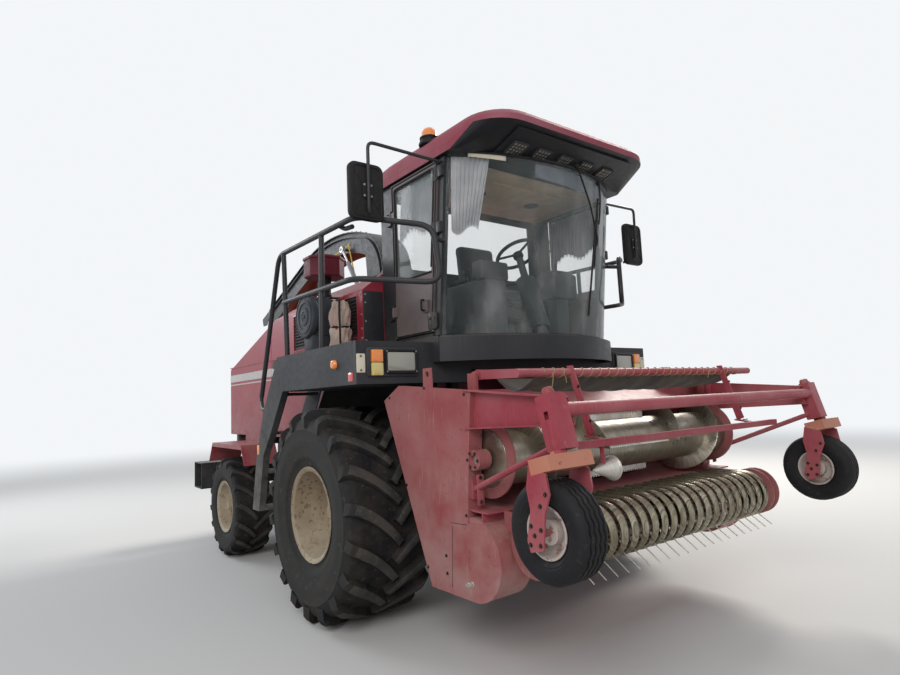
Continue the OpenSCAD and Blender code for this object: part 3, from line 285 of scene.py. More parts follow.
# colours: base, faded patches, worn spots, dust; amounts: patch and scratch; where chips begin;
# dust on top and low down; roughness; the heights between which the low dust fades
paintColumns = ("base", "faded", "chip", "dust", "patch", "scratch", "chips", "dustTop", "dustLow", "rough",
    "lowZ", "highZ")
paintLooks = {
    "hoodPaint": ((0.275, 0.023, 0.042), (0.36, 0.058, 0.078), (0.1, 0.035, 0.03), (0.34, 0.27, 0.22),
        0.45, 0.1, 0.68, 0.2, 0.35, 0.34, 1.2, 2.0),
    "roofPaint": ((0.25, 0.05, 0.072), (0.31, 0.115, 0.145), (0.1, 0.035, 0.03), (0.32, 0.25, 0.21),
        0.9, 0.2, 0.7, 0.15, 0.0, 0.62, 1.2, 2.0),
    "headerPaint": ((0.3, 0.035, 0.055), (0.39, 0.125, 0.135), (0.11, 0.055, 0.04), (0.44, 0.35, 0.29),
        0.85, 0.45, 0.66, 0.35, 0.3, 0.42, 0.4, 1.2),
    "blackPaint": ((0.022, 0.023, 0.026), (0.05, 0.05, 0.054), (0.12, 0.09, 0.07), (0.22, 0.19, 0.16),
        0.5, 0.1, 0.72, 0.3, 0.3, 0.42, 0.3, 1.2),
    "fenderPaint": ((0.026, 0.0275, 0.032), (0.05, 0.052, 0.058), (0.025, 0.022, 0.022), (0.27, 0.245, 0.21),
        0.8, 0.25, 0.7, 0.35, 0.62, 0.55, 0.6, 1.8),
    "chassisPaint": ((0.045, 0.042, 0.04), (0.085, 0.075, 0.068), (0.13, 0.07, 0.045), (0.27, 0.22, 0.17),
        0.8, 0.1, 0.62, 0.55, 0.6, 0.62, 0.3, 1.3),
    "axlePaint": ((0.095, 0.06, 0.045), (0.15, 0.11, 0.085), (0.05, 0.03, 0.025), (0.29, 0.24, 0.18),
        0.8, 0.05, 0.6, 0.6, 0.6, 0.72, 0.3, 1.3),
    "doorPaint": ((0.105, 0.078, 0.078), (0.145, 0.115, 0.112), (0.05, 0.045, 0.045), (0.3, 0.26, 0.23),
        0.6, 0.15, 0.74, 0.2, 0.4, 0.4, 2.0, 2.5),
    "rimPaint": ((0.27, 0.205, 0.135), (0.46, 0.39, 0.29), (0.15, 0.1, 0.065), (0.5, 0.43, 0.32),
        0.9, 0.25, 0.57, 0.4, 0.75, 0.5, 0.3, 0.9),
    "enginePaint": ((0.1, 0.105, 0.11), (0.16, 0.16, 0.16), (0.05, 0.04, 0.035), (0.25, 0.21, 0.17),
        0.7, 0.0, 0.6, 0.6, 0.5, 0.65, 1.0, 2.0),
    "greyMetal": ((0.23, 0.24, 0.25), (0.34, 0.35, 0.36), (0.12, 0.09, 0.07), (0.3, 0.27, 0.23),
        0.7, 0.2, 0.66, 0.3, 0.3, 0.45, 0.3, 1.2),
    "spoutInside": ((0.22, 0.045, 0.03), (0.3, 0.1, 0.06), (0.1, 0.05, 0.04), (0.3, 0.22, 0.16),
        0.8, 0.4, 0.6, 0.1, 0.1, 0.55, 0.3, 1.2),
    "rustyCast": ((0.17, 0.105, 0.07), (0.24, 0.18, 0.13), (0.07, 0.05, 0.04), (0.33, 0.27, 0.2),
        0.8, 0.1, 0.5, 0.4, 0.4, 0.78, 0.3, 1.2),
    "extinguisherPaint": ((0.5, 0.035, 0.02), (0.58, 0.08, 0.05), (0.2, 0.1, 0.08), (0.4, 0.3, 0.25),
        0.4, 0.1, 0.7, 0.2, 0.2, 0.4, 2.0, 2.2),
    "sidePaint": ((0.29, 0.055, 0.062), (0.36, 0.14, 0.14), (0.11, 0.06, 0.05), (0.42, 0.33, 0.28),
        0.95, 0.6, 0.64, 0.35, 0.45, 0.48, 0.5, 1.6),
    "archPaint": ((0.012, 0.012, 0.013), (0.028, 0.026, 0.025), (0.08, 0.05, 0.04), (0.16, 0.13, 0.1),
        0.6, 0.0, 0.72, 0.3, 0.25, 0.75, 1.0, 1.8),
    "cabFloorPaint": ((0.05, 0.048, 0.048), (0.085, 0.08, 0.078), (0.03, 0.03, 0.03), (0.24, 0.21, 0.18),
        0.6, 0.1, 0.74, 0.45, 0.3, 0.6, 1.9, 2.3),
    "cabFramePaint": ((0.016, 0.017, 0.02), (0.032, 0.033, 0.036), (0.09, 0.07, 0.06), (0.18, 0.16, 0.14),
        0.4, 0.05, 0.76, 0.25, 0.35, 0.38, 2.0, 2.6),
    "creamPaint": ((0.66, 0.6, 0.46), (0.7, 0.66, 0.55), (0.2, 0.15, 0.1), (0.4, 0.33, 0.26), 0.6, 0.1, 0.7,
        0.3, 0.3, 0.45, 1.6, 2.0),
    "stripePaint": ((0.6, 0.585, 0.57), (0.5, 0.46, 0.44), (0.25, 0.1, 0.1), (0.42, 0.36, 0.31),
        0.6, 0.25, 0.66, 0.2, 0.3, 0.42, 1.6, 2.2),
    "meshPaint": ((0.01, 0.01, 0.011), (0.022, 0.021, 0.021), (0.06, 0.05, 0.04), (0.14, 0.12, 0.1),
        0.4, 0.0, 0.76, 0.35, 0.3, 0.55, 2.0, 2.6),
    "darkRedPaint": ((0.105, 0.012, 0.022), (0.15, 0.03, 0.04), (0.05, 0.02, 0.02), (0.26, 0.19, 0.16),
        0.5, 0.1, 0.72, 0.3, 0.1, 0.45, 2.0, 2.6),
    "salmonPaint": ((0.46, 0.165, 0.105), (0.52, 0.25, 0.18), (0.16, 0.07, 0.05), (0.42, 0.33, 0.26),
        0.7, 0.3, 0.64, 0.25, 0.3, 0.5, 0.6, 1.3),
    "gaugeRimPaint": ((0.44, 0.34, 0.32), (0.55, 0.5, 0.46), (0.2, 0.09, 0.07), (0.3, 0.24, 0.19),
        0.8, 0.2, 0.58, 0.3, 0.5, 0.5, 0.7, 1.3),
    "housingPlastic": ((0.03, 0.036, 0.045), (0.055, 0.062, 0.075), (0.1, 0.1, 0.1), (0.2, 0.18, 0.16),
        0.5, 0.1, 0.76, 0.35, 0.2, 0.5, 2.0, 2.6),
}
# the scale of each layer's noise, and how strong the layers are that all paints share
wear = dict(patches=1.7, fine=26, fineAmount=0.22, streaks=(90, 90, 5), streakTurn=(0, 33, 0),
    streakAreas=3.1, chips=31, chipEdge=0.03, chipAmount=0.8, cloud=5.5, bump=0.1, coatBelow=0.4, coat=0.08)


def makePaint(name, *values):
    look = dict(zip(paintColumns, values))
    material, tree, shader = startMaterial(name)
    place = objectPlace(tree)
    patches = grain(tree, place, wear["patches"], 5, 0.38, 0.64)
    fine = grain(tree, place, wear["fine"], 6, 0.25, 0.75)
    streaks = grain(tree, objectPlace(tree, wear["streaks"], wear["streakTurn"]), 1.0, 3, 0.6, 0.74)
    streakAreas = grain(tree, place, wear["streakAreas"], 2, 0.42, 0.62)
    chips = grain(tree, place, wear["chips"], 5, look["chips"], look["chips"] + wear["chipEdge"], 0.62)
    cloud = grain(tree, place, wear["cloud"], 6, 0.32, 0.66, 0.62)
    low = band(tree, heightOf(tree), look["highZ"], look["lowZ"])
    top = band(tree, upFacing(tree), 0.35, 0.95)
    colour = layer(tree, look["base"], look["faded"], patches, look["patch"])
    colour = layer(tree, colour, look["faded"], fine, wear["fineAmount"])
    colour = layer(tree, colour, look["dust"], streaks, streakAreas, look["scratch"])
    colour = layer(tree, colour, look["chip"], chips, wear["chipAmount"])
    colour = layer(tree, colour, look["dust"], low, cloud, look["dustLow"])
    colour = layer(tree, colour, look["dust"], top, cloud, look["dustTop"])
    fill(tree, shader, {
        "Base Color": colour,
        "Roughness": band(tree, fine, 0, 1, look["rough"] - 0.06, look["rough"] + 0.14),
        "Specular IOR Level": 0.22,
        "Coat Weight": wear["coat"] if look["rough"] < wear["coatBelow"] else 0.0,
        "Coat Roughness": 0.25,
    })
    addBump(tree, shader, fine, wear["bump"], 0.002)
    return material


def sideFacing(tree):
    # 1 where a wheel's side faces out, 0 on its tread
    normal = tree.nodes.new("ShaderNodeTexCoord").outputs["Normal"]
    across = addNode(tree, "ShaderNodeSeparateXYZ", Vector=normal).outputs["Y"]
    return band(tree, times(tree, across, across), 0.55, 0.9)


paleSide = (0.105, 0.118, 0.112)


def makeRubber(name, base, dust, amount, rough, mud, side=0.0):
    material, tree, shader = startMaterial(name)
    place = objectPlace(tree)
    cloud = grain(tree, place, 7, 6, 0.35, 0.7, 0.6)
    fine = grain(tree, place, 60, 5, 0.3, 0.7)
    specks = grain(tree, place, 24, 4, 0.6, 0.68, 0.65)
    colour = layer(tree, base, dust, cloud, amount)
    colour = layer(tree, colour, dust, specks, mud)
    if side:
        colour = layer(tree, colour, paleSide, sideFacing(tree), side)
    fill(tree, shader, {
        "Base Color": colour,
        "Roughness": band(tree, cloud, 0, 1, rough, rough + 0.22),
        "Specular IOR Level": 0.18,
    })
    addBump(tree, shader, fine, 0.25, 0.002)
    return material


def makeWornSteel(name, base, dark, rust, stretch=(1, 40, 1)):
    material, tree, shader = startMaterial(name)
    brushed = grain(tree, objectPlace(tree, stretch), 6, 4, 0.3, 0.7)
    cloud = grain(tree, objectPlace(tree), 6, 5, 0.36, 0.66)
    fill(tree, shader, {
        "Base Color": layer(tree, layer(tree, dark, base, brushed), rust, cloud, 0.55),
        "Metallic": 0.85,
        "Roughness": band(tree, cloud, 0, 1, 0.24, 0.52),
    })
    addBump(tree, shader, brushed, 0.08, 0.001)
    return material


def makeGlass(name, tint, dirt):
    # clearer where it is looked through squarely, dirtier towards its lower edge
    material, tree, shader = startMaterial(name)
    smear = grain(tree, objectPlace(tree, (2.5, 2.5, 1.0)), 2.2, 5, 0.45, 0.75)
    edge = addNode(tree, "ShaderNodeLayerWeight", Blend=0.25).outputs["Facing"]
    seen = band(tree, edge, 0.0, 0.9, 0.045, 0.38)
    low = band(tree, heightOf(tree), 3.0, 2.1)
    fill(tree, shader, {
        "Base Color": layer(tree, tint, (0.75, 0.76, 0.74), smear),
        "Roughness": 0.04,
        "IOR": 1.5,
        "Alpha": maths(tree, "ADD", seen, times(tree, times(tree, smear, low), dirt)),
    })
    return material


def makePlastic(name, base, rough, grainScale=220):
    material, tree, shader = startMaterial(name)
    place = objectPlace(tree)
    cloud = grain(tree, place, 9, 4, 0.35, 0.7)
    lighter = tuple(min(1, c * 1.5 + 0.015) for c in base)
    fill(tree, shader, {
        "Base Color": layer(tree, base, lighter, cloud, 0.6),
        "Roughness": band(tree, cloud, 0, 1, rough, rough + 0.12),
        "Specular IOR Level": 0.25,
    })
    addBump(tree, shader, grain(tree, place, grainScale, 2, 0.3, 0.7), 0.03, 0.0001)
    return material


def makeLens(name, colour, glow):
    material, tree, shader = startMaterial(name)
    fill(tree, shader, {
        "Base Color": (*colour, 1),
        "Roughness": 0.12,
        "Coat Weight": 1.0,
        "Coat Roughness": 0.04,
        "Subsurface Weight": glow,
    })
    ribs = addNode(tree, "ShaderNodeTexWave", {"bands_direction": "Y"}, Scale=34, Vector=objectPlace(tree))
    addBump(tree, shader, ribs.outputs["Fac"], 0.35, 0.002)
    return material


def makeCloth(name, base, other, scale):
    # scale is how fine the weave is
    material, tree, shader = startMaterial(name)
    warp, weft = (addNode(tree, "ShaderNodeTexWave", {"bands_direction": way}, Scale=scale, Distortion=0.6,
        Vector=objectPlace(tree)) for way in ("X", "Z"))
    weave = times(tree, warp.outputs["Fac"], weft.outputs["Fac"])
    colour = layer(tree, base, other, grain(tree, objectPlace(tree), 6, 5, 0.35, 0.68))
    fill(tree, shader, {
        "Base Color": layer(tree, colour, tuple(c * 0.55 for c in base), weave, 0.35),
        "Roughness": 0.9,
        "Specular IOR Level": 0.15,
        "Sheen Weight": 0.25,
    })
    addBump(tree, shader, weave, 0.4, 0.002)
    return material


# base, dust, dust's amount, roughness, mud, how pale the side is
rubberLooks = {
    "frontRubber": ((0.009, 0.009, 0.0105), (0.115, 0.092, 0.072), 0.26, 0.66, 0.36, 0.12),
    "lugRubber": ((0.03, 0.03, 0.029), (0.135, 0.12, 0.1), 0.42, 0.7, 0.4),
    "gaugeRubber": ((0.009, 0.0095, 0.012), (0.085, 0.076, 0.066), 0.16, 0.56, 0.22),
    "trimRubber": ((0.01, 0.01, 0.011), (0.07, 0.065, 0.06), 0.25, 0.5, 0.2),
}
# bright, dark and rust colours, and which way it is brushed
steelLooks = {
    "drumSteel": ((0.46, 0.44, 0.38), (0.2, 0.18, 0.14), (0.22, 0.15, 0.09)),
    "bandSteel": ((0.52, 0.48, 0.36), (0.09, 0.08, 0.055), (0.13, 0.09, 0.05), (40, 1, 1)),
    "tineSteel": ((0.8, 0.78, 0.72), (0.5, 0.47, 0.42), (0.35, 0.26, 0.18)),
    "rodSteel": ((0.7, 0.71, 0.72), (0.55, 0.56, 0.57), (0.5, 0.47, 0.43)),
    "mirrorGlass": ((0.75, 0.78, 0.8), (0.72, 0.75, 0.77), (0.6, 0.62, 0.64)),
    "boltSteel": ((0.1, 0.085, 0.08), (0.05, 0.042, 0.04), (0.1, 0.055, 0.04)),
    "zincSteel": ((0.72, 0.7, 0.66), (0.5, 0.48, 0.44), (0.45, 0.4, 0.34)),
    "stripSteel": ((0.85, 0.84, 0.8), (0.6, 0.58, 0.54), (0.5, 0.42, 0.34)),
    "darkSteel": ((0.12, 0.1, 0.085), (0.05, 0.045, 0.04), (0.12, 0.08, 0.05)),
}
# tint and dirt
glassLooks = {"cabGlass": ((0.3, 0.36, 0.36), 0.1)}
# base, roughness, how fine the grain is
plasticLooks = {
    "cabPlastic": ((0.035, 0.035, 0.038), 0.5),
    "ceilingPlastic": ((0.4, 0.32, 0.22), 0.7, 90),
}
# colour and how much light spreads inside
lensLooks = {
    "clearLens": ((0.3, 0.29, 0.24), 0.05),
    "amberLens": ((0.85, 0.24, 0.015), 0.2),
    "yellowLens": ((0.62, 0.5, 0.16), 0.2),
    "redLens": ((0.7, 0.02, 0.015), 0.2),
}
# two colours of the cloth and how fine its weave is
clothLooks = {
    "seatCloth": ((0.055, 0.06, 0.07), (0.1, 0.1, 0.11), 120),
    "guardCloth": ((0.06, 0.048, 0.038), (0.115, 0.095, 0.072), 90),
    "curtainCloth": ((0.4, 0.41, 0.43), (0.56, 0.56, 0.57), 150),
    "ragCloth": ((0.52, 0.36, 0.3), (0.66, 0.55, 0.44), 110),
    "strapCloth": ((0.68, 0.47, 0.07), (0.56, 0.42, 0.14), 260),
    "twineCloth": ((0.46, 0.33, 0.13), (0.36, 0.29, 0.16), 300),
    "filmCloth": ((0.3, 0.31, 0.33), (0.4, 0.4, 0.41), 150),
    "valanceCloth": ((0.07, 0.09, 0.12), (0.14, 0.16, 0.2), 150),
}

finishes = {}
for maker, looks in ((makePaint, paintLooks), (makeRubber, rubberLooks), (makeWornSteel, steelLooks),
        (makeGlass, glassLooks), (makePlastic, plasticLooks), (makeLens, lensLooks), (makeCloth, clothLooks)):
    for name, values in looks.items():
        finishes[name] = maker(name, *values)
print("finishes made:", len(finishes))


def finish(thing, name):
    thing.data.materials.clear()
    thing.data.materials.append(finishes[name])


# the nodes that show as they are: the others take the finish of the piece that stands for them
cadFinishes = {"cabGlass": ("cab_glass", "door_left_glass", "door_right_glass"),
    "rodSteel": ("lift_rods", "spout_rods")}
for finishName, nodeNames in cadFinishes.items():
    for nodeName in nodeNames:
        finish(nodes[nodeName], finishName)

# making pieces


def settle(piece, body, replaced=()):
    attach(piece, body)
    if replaced:
        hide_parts(*replaced)
    for nodeName in replaced:
        finish(nodes[nodeName], piece.active_material.name)
    return piece


def keepPiece(name, bm, finishName, body="chassis", replaced=(), smooth=35, bevel=0.0):
    mesh = asMesh(bm, name)
    mesh.shade_smooth()
    mesh.set_sharp_from_angle(angle=math.radians(smooth))
    piece = newObject(name, mesh)
    mesh.materials.append(finishes[finishName])
    if bevel:
        edgeBevel(piece, bevel)
    return settle(piece, body, replaced)


def edgeBevel(piece, width):
    made = piece.modifiers.new("edges", "BEVEL")
    made.width = width
    made.segments = 2
    made.limit_method = "ANGLE"
    made.angle_limit = math.radians(38)
    made.harden_normals = True
    made.use_clamp_overlap = True


def shift(bm, way):
    bmesh.ops.translate(bm, vec=way, verts=bm.verts)


def stamp(bm, mesh, matrix):
    # adds a placed copy of a small mesh
    placed = mesh.copy()
    placed.transform(matrix)
    if matrix.determinant() < 0:
        placed.flip_normals()
    bm.from_mesh(placed)
    bpy.data.meshes.remove(placed)


def stampAt(bm, mesh, *places):
    for place in places:
        stamp(bm, mesh, Matrix.Translation(place))


def leaned(place, degrees):
    # a place and a lean about the line across the machine
    return Matrix.Translation(place) @ Matrix.Rotation(math.radians(degrees), 4, "Y")


def facing(place, normal):
    turn = Vector(normal).to_track_quat("Z", "Y").to_matrix().to_4x4()
    return Matrix.Translation(place) @ turn


def spun(profile, steps, axis="Z"):
    # profile is (radius, along) from start to end; the ends stay open unless they touch the axis
    bm = bmesh.new()
    corners = [bm.verts.new((r, 0, z)) for r, z in profile]
    edges = [bm.edges.new(pair) for pair in zip(corners, corners[1:])]
    bmesh.ops.spin(bm, geom=corners + edges, cent=(0, 0, 0), axis=(0, 0, 1), angle=math.tau, steps=steps,
        use_merge=True)
    bmesh.ops.remove_doubles(bm, verts=bm.verts, dist=1e-5)
    bmesh.ops.recalc_face_normals(bm, faces=bm.faces)
    if axis == "Y":
        bmesh.ops.rotate(bm, cent=(0, 0, 0), matrix=Matrix.Rotation(math.radians(-90), 3, "X"),
            verts=bm.verts)
    return bm


def joinRings(bm, rings):
    # faces between rings of points that follow each other, and over both ends
    count = len(rings[0])
    made = [bm.faces.new(rings[0]), bm.faces.new(rings[-1])]
    for low, high in zip(rings, rings[1:]):
        for k in range(count):
            after = (k + 1) % count
            made.append(bm.faces.new((low[k], low[after], high[after], high[k])))
    bmesh.ops.recalc_face_normals(bm, faces=made)


def slab(bm, low, high, bevel=0.0):
    # a block between two corners, its edges rounded
    made = bmesh.ops.create_cube(bm, size=1)["verts"]
    low, high = Vector(low), Vector(high)
    bmesh.ops.scale(bm, vec=high - low, verts=made)
    bmesh.ops.translate(bm, vec=(low + high) / 2, verts=made)
    if bevel:
        edges = {e for v in made for e in v.link_edges}
        bmesh.ops.bevel(bm, geom=list(edges), offset=bevel, segments=2, profile=0.5, affect="EDGES",
            material=-1)
    return made


def sideSlab(bm, side, x, y, z, bevel=0.0):
    # a block on one side: x, y and z are each (from, to), and y counts outwards
    inner, outer = sorted(value * side for value in y)
    return slab(bm, at(x[0], inner, z[0]), at(x[1], outer, z[1]), bevel)


def rodBetween(bm, a, b, radius, segments=12):
    a, b = Vector(a), Vector(b)
    made = bmesh.ops.create_cone(bm, cap_ends=True, segments=segments, radius1=radius, radius2=radius,
        depth=(b - a).length)["verts"]
    bmesh.ops.transform(bm, matrix=facing((a + b) / 2, b - a), verts=made)
    return made


def boltMesh(size):
    # a hexagon head on a washer, along Z
    bm = bmesh.new()
    bmesh.ops.create_cone(bm, cap_ends=True, segments=6, radius1=size, radius2=size, depth=size * 0.8,
        matrix=Matrix.Translation((0, 0, size * 0.55)))
    bmesh.ops.create_cone(bm, cap_ends=True, segments=14, radius1=size * 1.45, radius2=size * 1.35,
        depth=size * 0.22, matrix=Matrix.Translation((0, 0, size * 0.11)))
    return asMesh(bm, "bolt")


def boltsAt(name, places, size, body="chassis", finishName="greyMetal"):
    # places: (point, outward normal)
    seed = boltMesh(size)
    bm = bmesh.new()
    for place, normal in places:
        stamp(bm, seed, facing(place, normal))
    return keepPiece(name, bm, finishName, body, smooth=30)


def roundedPath(points, radius, steps=5):
    # the points of a line whose corners are rounded
    points = [Vector(p) for p in points]
    path = [points[0]]
    for before, corner, after in zip(points, points[1:], points[2:]):
        inward, outward = before - corner, after - corner
        reach = min(radius, inward.length * 0.45, outward.length * 0.45)
        start, end = corner + inward.normalized() * reach, corner + outward.normalized() * reach
        for i in range(steps + 1):
            t = i / steps
            path.append(start.lerp(corner, t).lerp(corner.lerp(end, t), t))
    return path + [points[-1]]


def tubes(name, paths, radius, finishName, body="chassis", replaced=(), segments=4):
    curve = bpy.data.curves.new(name, "CURVE")
    curve.dimensions = "3D"
    curve.bevel_depth = radius
    curve.bevel_resolution = segments
    curve.use_fill_caps = True
    for path in paths:
        spline = curve.splines.new("POLY")
        spline.points.add(len(path) - 1)
        for point, place in zip(spline.points, path):
            point.co = (*place, 1)
    piece = newObject(name, curve)
    finish(piece, finishName)
    return settle(piece, body, replaced)


# flat pieces that face a side: local X across, Y up, Z out
faceTurns = {
    "+X": Matrix(((0, 0, 1), (1, 0, 0), (0, 1, 0))).to_4x4(),
    "-X": Matrix(((0, 0, -1), (-1, 0, 0), (0, 1, 0))).to_4x4(),
    "-Y": Matrix(((1, 0, 0), (0, 0, -1), (0, 1, 0))).to_4x4(),
    "+Y": Matrix(((-1, 0, 0), (0, 0, 1), (0, 1, 0))).to_4x4(),
}
outwards = {1: "+Y", -1: "-Y"}


def roundedPlate(bm, place, turn, width, height, depth, corner, edge=0.0, steps=5, frameWidth=0.0):
    # a plate with rounded corners standing out of a face, or a frame if frameWidth is given
    def ring(inset, z):
        w, h, r = width / 2 - inset, height / 2 - inset, max(corner - inset, 0.0005)
        made = []
        for cx, cy, start in ((w - r, h - r, 0), (r - w, h - r, 90), (r - w, r - h, 180),
                (w - r, r - h, 270)):
            for i in range(steps + 1):
                a = math.radians(start + 90 * i / steps)
                made.append(bm.verts.new(turned @ Vector((cx + r * math.cos(a), cy + r * math.sin(a), z))))
        return made

    turned = Matrix.Translation(place) @ (faceTurns[turn] if isinstance(turn, str) else turn)
    rings = [ring(0, 0), ring(0, depth - edge)]
    if edge:
        rings += [ring(edge * 0.3, depth - edge * 0.3), ring(edge, depth)]
    if frameWidth:
        rings += [ring(frameWidth - edge, depth), ring(frameWidth, depth - edge), ring(frameWidth, 0)]
    count = len(rings[0])
    pairs = list(zip(rings, rings[1:])) + ([(rings[-1], rings[0])] if frameWidth else [])
    for low, high in pairs:
        for i in range(count):
            k = (i + 1) % count
            bm.faces.new((low[i], low[k], high[k], high[i]))
    if not frameWidth:
        bm.faces.new(list(reversed(rings[0])))
        bm.faces.new(rings[-1])


def mergedCopy(nodeName):
    # a CAD node's triangles joined again into its flat faces
    bm = bmesh.new()
    bm.from_mesh(nodes[nodeName].data)
    bmesh.ops.remove_doubles(bm, verts=bm.verts, dist=1e-5)
    return bm


def flatten(bm):
    bmesh.ops.dissolve_limit(bm, angle_limit=math.radians(0.6), verts=bm.verts, edges=bm.edges)
    return bm


def easePin(bm, centre, radius, ease):
    # a pin across the machine made a little thinner, so that it turns freely in its bore
    for v in bm.verts:
        dx, dz = v.co.x - centre.x, v.co.z - centre.z
        if math.hypot(dx, dz) < radius:
            v.co.x, v.co.z = centre.x + dx * ease, centre.z + dz * ease


def refine(nodeName, finishName, bevel):
    # stands for a CAD node with the same solids, merged and with small rounded edges
    bm = mergedCopy(nodeName)
    if nodeName == "chopper_housing":
        easePin(bm, at(-0.25, 0, 1.0), 0.0402, 0.98)
    return keepPiece(nodeName + "_finished", flatten(bm), finishName, nodeBodies[nodeName], (nodeName,),
        32, bevel)


# wheels

frontTyre = dict(radius=0.8, width=0.72, rim=0.3575, lugHeight=0.055, lugs=18, lugWidth=0.062, lean=0.44,
    steps=96, nuts=8, hub=0.11)
rearTyre = dict(radius=0.5375, width=0.41, rim=0.2825, lugHeight=0.032, lugs=16, lugWidth=0.044, lean=0.42,
    steps=72, nuts=8, hub=0.075)


def isTopRim(edge):
    # an edge of the lug's top face
    across = edge.is_boundary or len({round(face.normal.z) for face in edge.link_faces}) > 1
    return across and min(v.co.z for v in edge.verts) > 0.4


def lugMesh(look):
    # one curved bar, made flat and then bent round the tread: X along it, Y across, Z out
    half = look["width"] / 2
    base = look["radius"] - look["lugHeight"]
    bm = bmesh.new()
    bmesh.ops.create_cube(bm, size=1)
    longEdges = [e for e in bm.edges if abs(e.verts[0].co.x - e.verts[1].co.x) > 0.5]
    bmesh.ops.subdivide_edges(bm, edges=longEdges, cuts=9, use_grid_fill=True)
    topEdges = [e for e in bm.edges if isTopRim(e)]
    bmesh.ops.bevel(bm, geom=topEdges, offset=0.1, segments=2, profile=0.5, affect="EDGES", material=-1)
    for v in bm.verts:
        along, across, out = v.co.x + 0.5, v.co.y, v.co.z + 0.5
        lead = look["lean"] * (1.25 * along - 0.45 * along * along)
        tilt = math.atan(look["lean"] * (1.25 - 0.9 * along) * base / half)
        wide = look["lugWidth"] * (1.3 - 0.3 * out) * (0.85 + 0.35 * along)
        angle = lead + across * wide * math.cos(tilt) / base
        # the inner end crosses the middle of the tread a little
        y = min(half, along * (half + 0.012) - 0.012 - across * wide * math.sin(tilt))
        # the tread falls away towards the shoulder
        fall = max(0.0, y / half - 0.8) / 0.2
        top = look["radius"] - 0.012 * (y / half) ** 2 - look["lugHeight"] * 0.9 * fall ** 2
        low = base - 0.03 - look["lugHeight"] * 1.1 * fall
        radius = low + (top - low) * out
        v.co = (radius * math.cos(angle), y, radius * math.sin(angle))
    bmesh.ops.recalc_face_normals(bm, faces=bm.faces)
    for face in bm.faces:
        centre = face.calc_center_median()
        if face.normal.dot(Vector((centre.x, 0, centre.z)).normalized()) > 0.8:
            face.material_index = 1
    return asMesh(bm, "lug")


# the side wall from the rim to the tread: (part of the way up, part of the half width)
tyreWall = ((0.16, 0.9), (0.19, 0.925), (0.22, 0.925), (0.4, 0.985), (0.55, 0.995), (0.7, 0.975),
    (0.73, 0.985), (0.76, 0.965), (0.88, 0.925), (0.95, 0.86), (0.985, 0.76))


def tyrePiece(name, look, body, replaced):
    half, base, rim = look["width"] / 2, look["radius"] - look["lugHeight"], look["rim"]
    tall = base - rim
    side = [(rim - 0.022, 0.8), (rim + 0.004, 0.835), (rim + 0.03 * tall + 0.012, 0.845)]
    side += [(rim + up * tall, out) for up, out in tyreWall] + [(base - 0.002, 0.55), (base, 0.25)]
    profile = [(r, -f * half) for r, f in side] + [(base, 0)] + [(r, f * half) for r, f in reversed(side)]
    bm = spun(profile, look["steps"], "Y")
    seed = lugMesh(look)
    mirrored = Matrix.Scale(-1, 4, (0, 1, 0))
    for i in range(look["lugs"]):
        turn = math.tau * i / look["lugs"]
        stamp(bm, seed, Matrix.Rotation(-turn, 4, "Y"))
        stamp(bm, seed, Matrix.Rotation(-turn - math.pi / look["lugs"], 4, "Y") @ mirrored)
    shift(bm, middle(replaced))
    piece = keepPiece(name, bm, "frontRubber", body, (replaced,), 40)
    piece.data.materials.append(finishes["lugRubber"])


def rimPiece(name, look, body, replaced, outward):
    # a deep dish with its disc well inside, a hub with a ring of nuts and a cap
    half, rim, hub = look["width"] / 2 * 0.84, look["rim"], look["hub"]
    barrel = rim - 0.03
    disc = -0.1 * look["width"]
    back = [(0.0, disc - 0.1), (hub, disc - 0.1), (hub + 0.02, -0.01), (barrel - 0.06, disc + 0.002),
        (barrel - 0.03, disc - 0.03), (barrel - 0.026, -half * 0.5), (barrel - 0.014, -half + 0.05),
        (barrel - 0.006, -half + 0.004), (rim - 0.012, -half - 0.01)]
    innerLip = [(rim - 0.004, -half - 0.012), (rim, -half - 0.004), (rim - 0.006, -half),
        (barrel + 0.008, -half + 0.006), (barrel, -half + 0.05), (barrel - 0.012, -half * 0.5),
        (barrel - 0.016, disc - 0.03)]
    well = [(barrel - 0.02, disc), (barrel - 0.012, disc + 0.03), (barrel - 0.028, 0.3 * half),
        (barrel - 0.008, 0.42 * half), (barrel, half - 0.05), (barrel + 0.008, half - 0.006)]
    outerLip = [(rim - 0.006, half), (rim, half + 0.004), (rim - 0.004, half + 0.012),
        (rim - 0.012, half + 0.01)]
    front = [(barrel - 0.006, half - 0.004), (barrel - 0.014, half - 0.05), (barrel - 0.022, 0.44 * half),
        (barrel - 0.042, 0.32 * half), (barrel - 0.034, disc + 0.05), (barrel - 0.05, disc + 0.022)]
    cap = [(hub + 0.09, 0.02), (hub + 0.05, 0.03), (hub, 0.03), (hub, 0.06), (hub * 0.62, 0.075),
        (hub * 0.6, 0.13), (hub * 0.5, 0.145), (0.0, 0.148)]
    bm = spun(back + innerLip + well + outerLip + front + cap, 64, "Y")
    nut = boltMesh(0.016)
    for i in range(look["nuts"]):
        turn = Matrix.Rotation(math.tau * (i + 0.5) / look["nuts"], 4, "Y")
        stamp(bm, nut, turn @ facing(Vector((hub + 0.028, 0.029, 0)), (0, 1, 0)))
    if outward < 0:
        bmesh.ops.scale(bm, vec=(1, -1, 1), verts=bm.verts)
        bmesh.ops.reverse_faces(bm, faces=bm.faces)
    tyreCentre = middle(replaced.replace("rim", "tyre"))
    shift(bm, (middle(replaced).x, tyreCentre.y, tyreCentre.z))
    return keepPiece(name, bm, "rimPaint", body, (replaced,), 40)


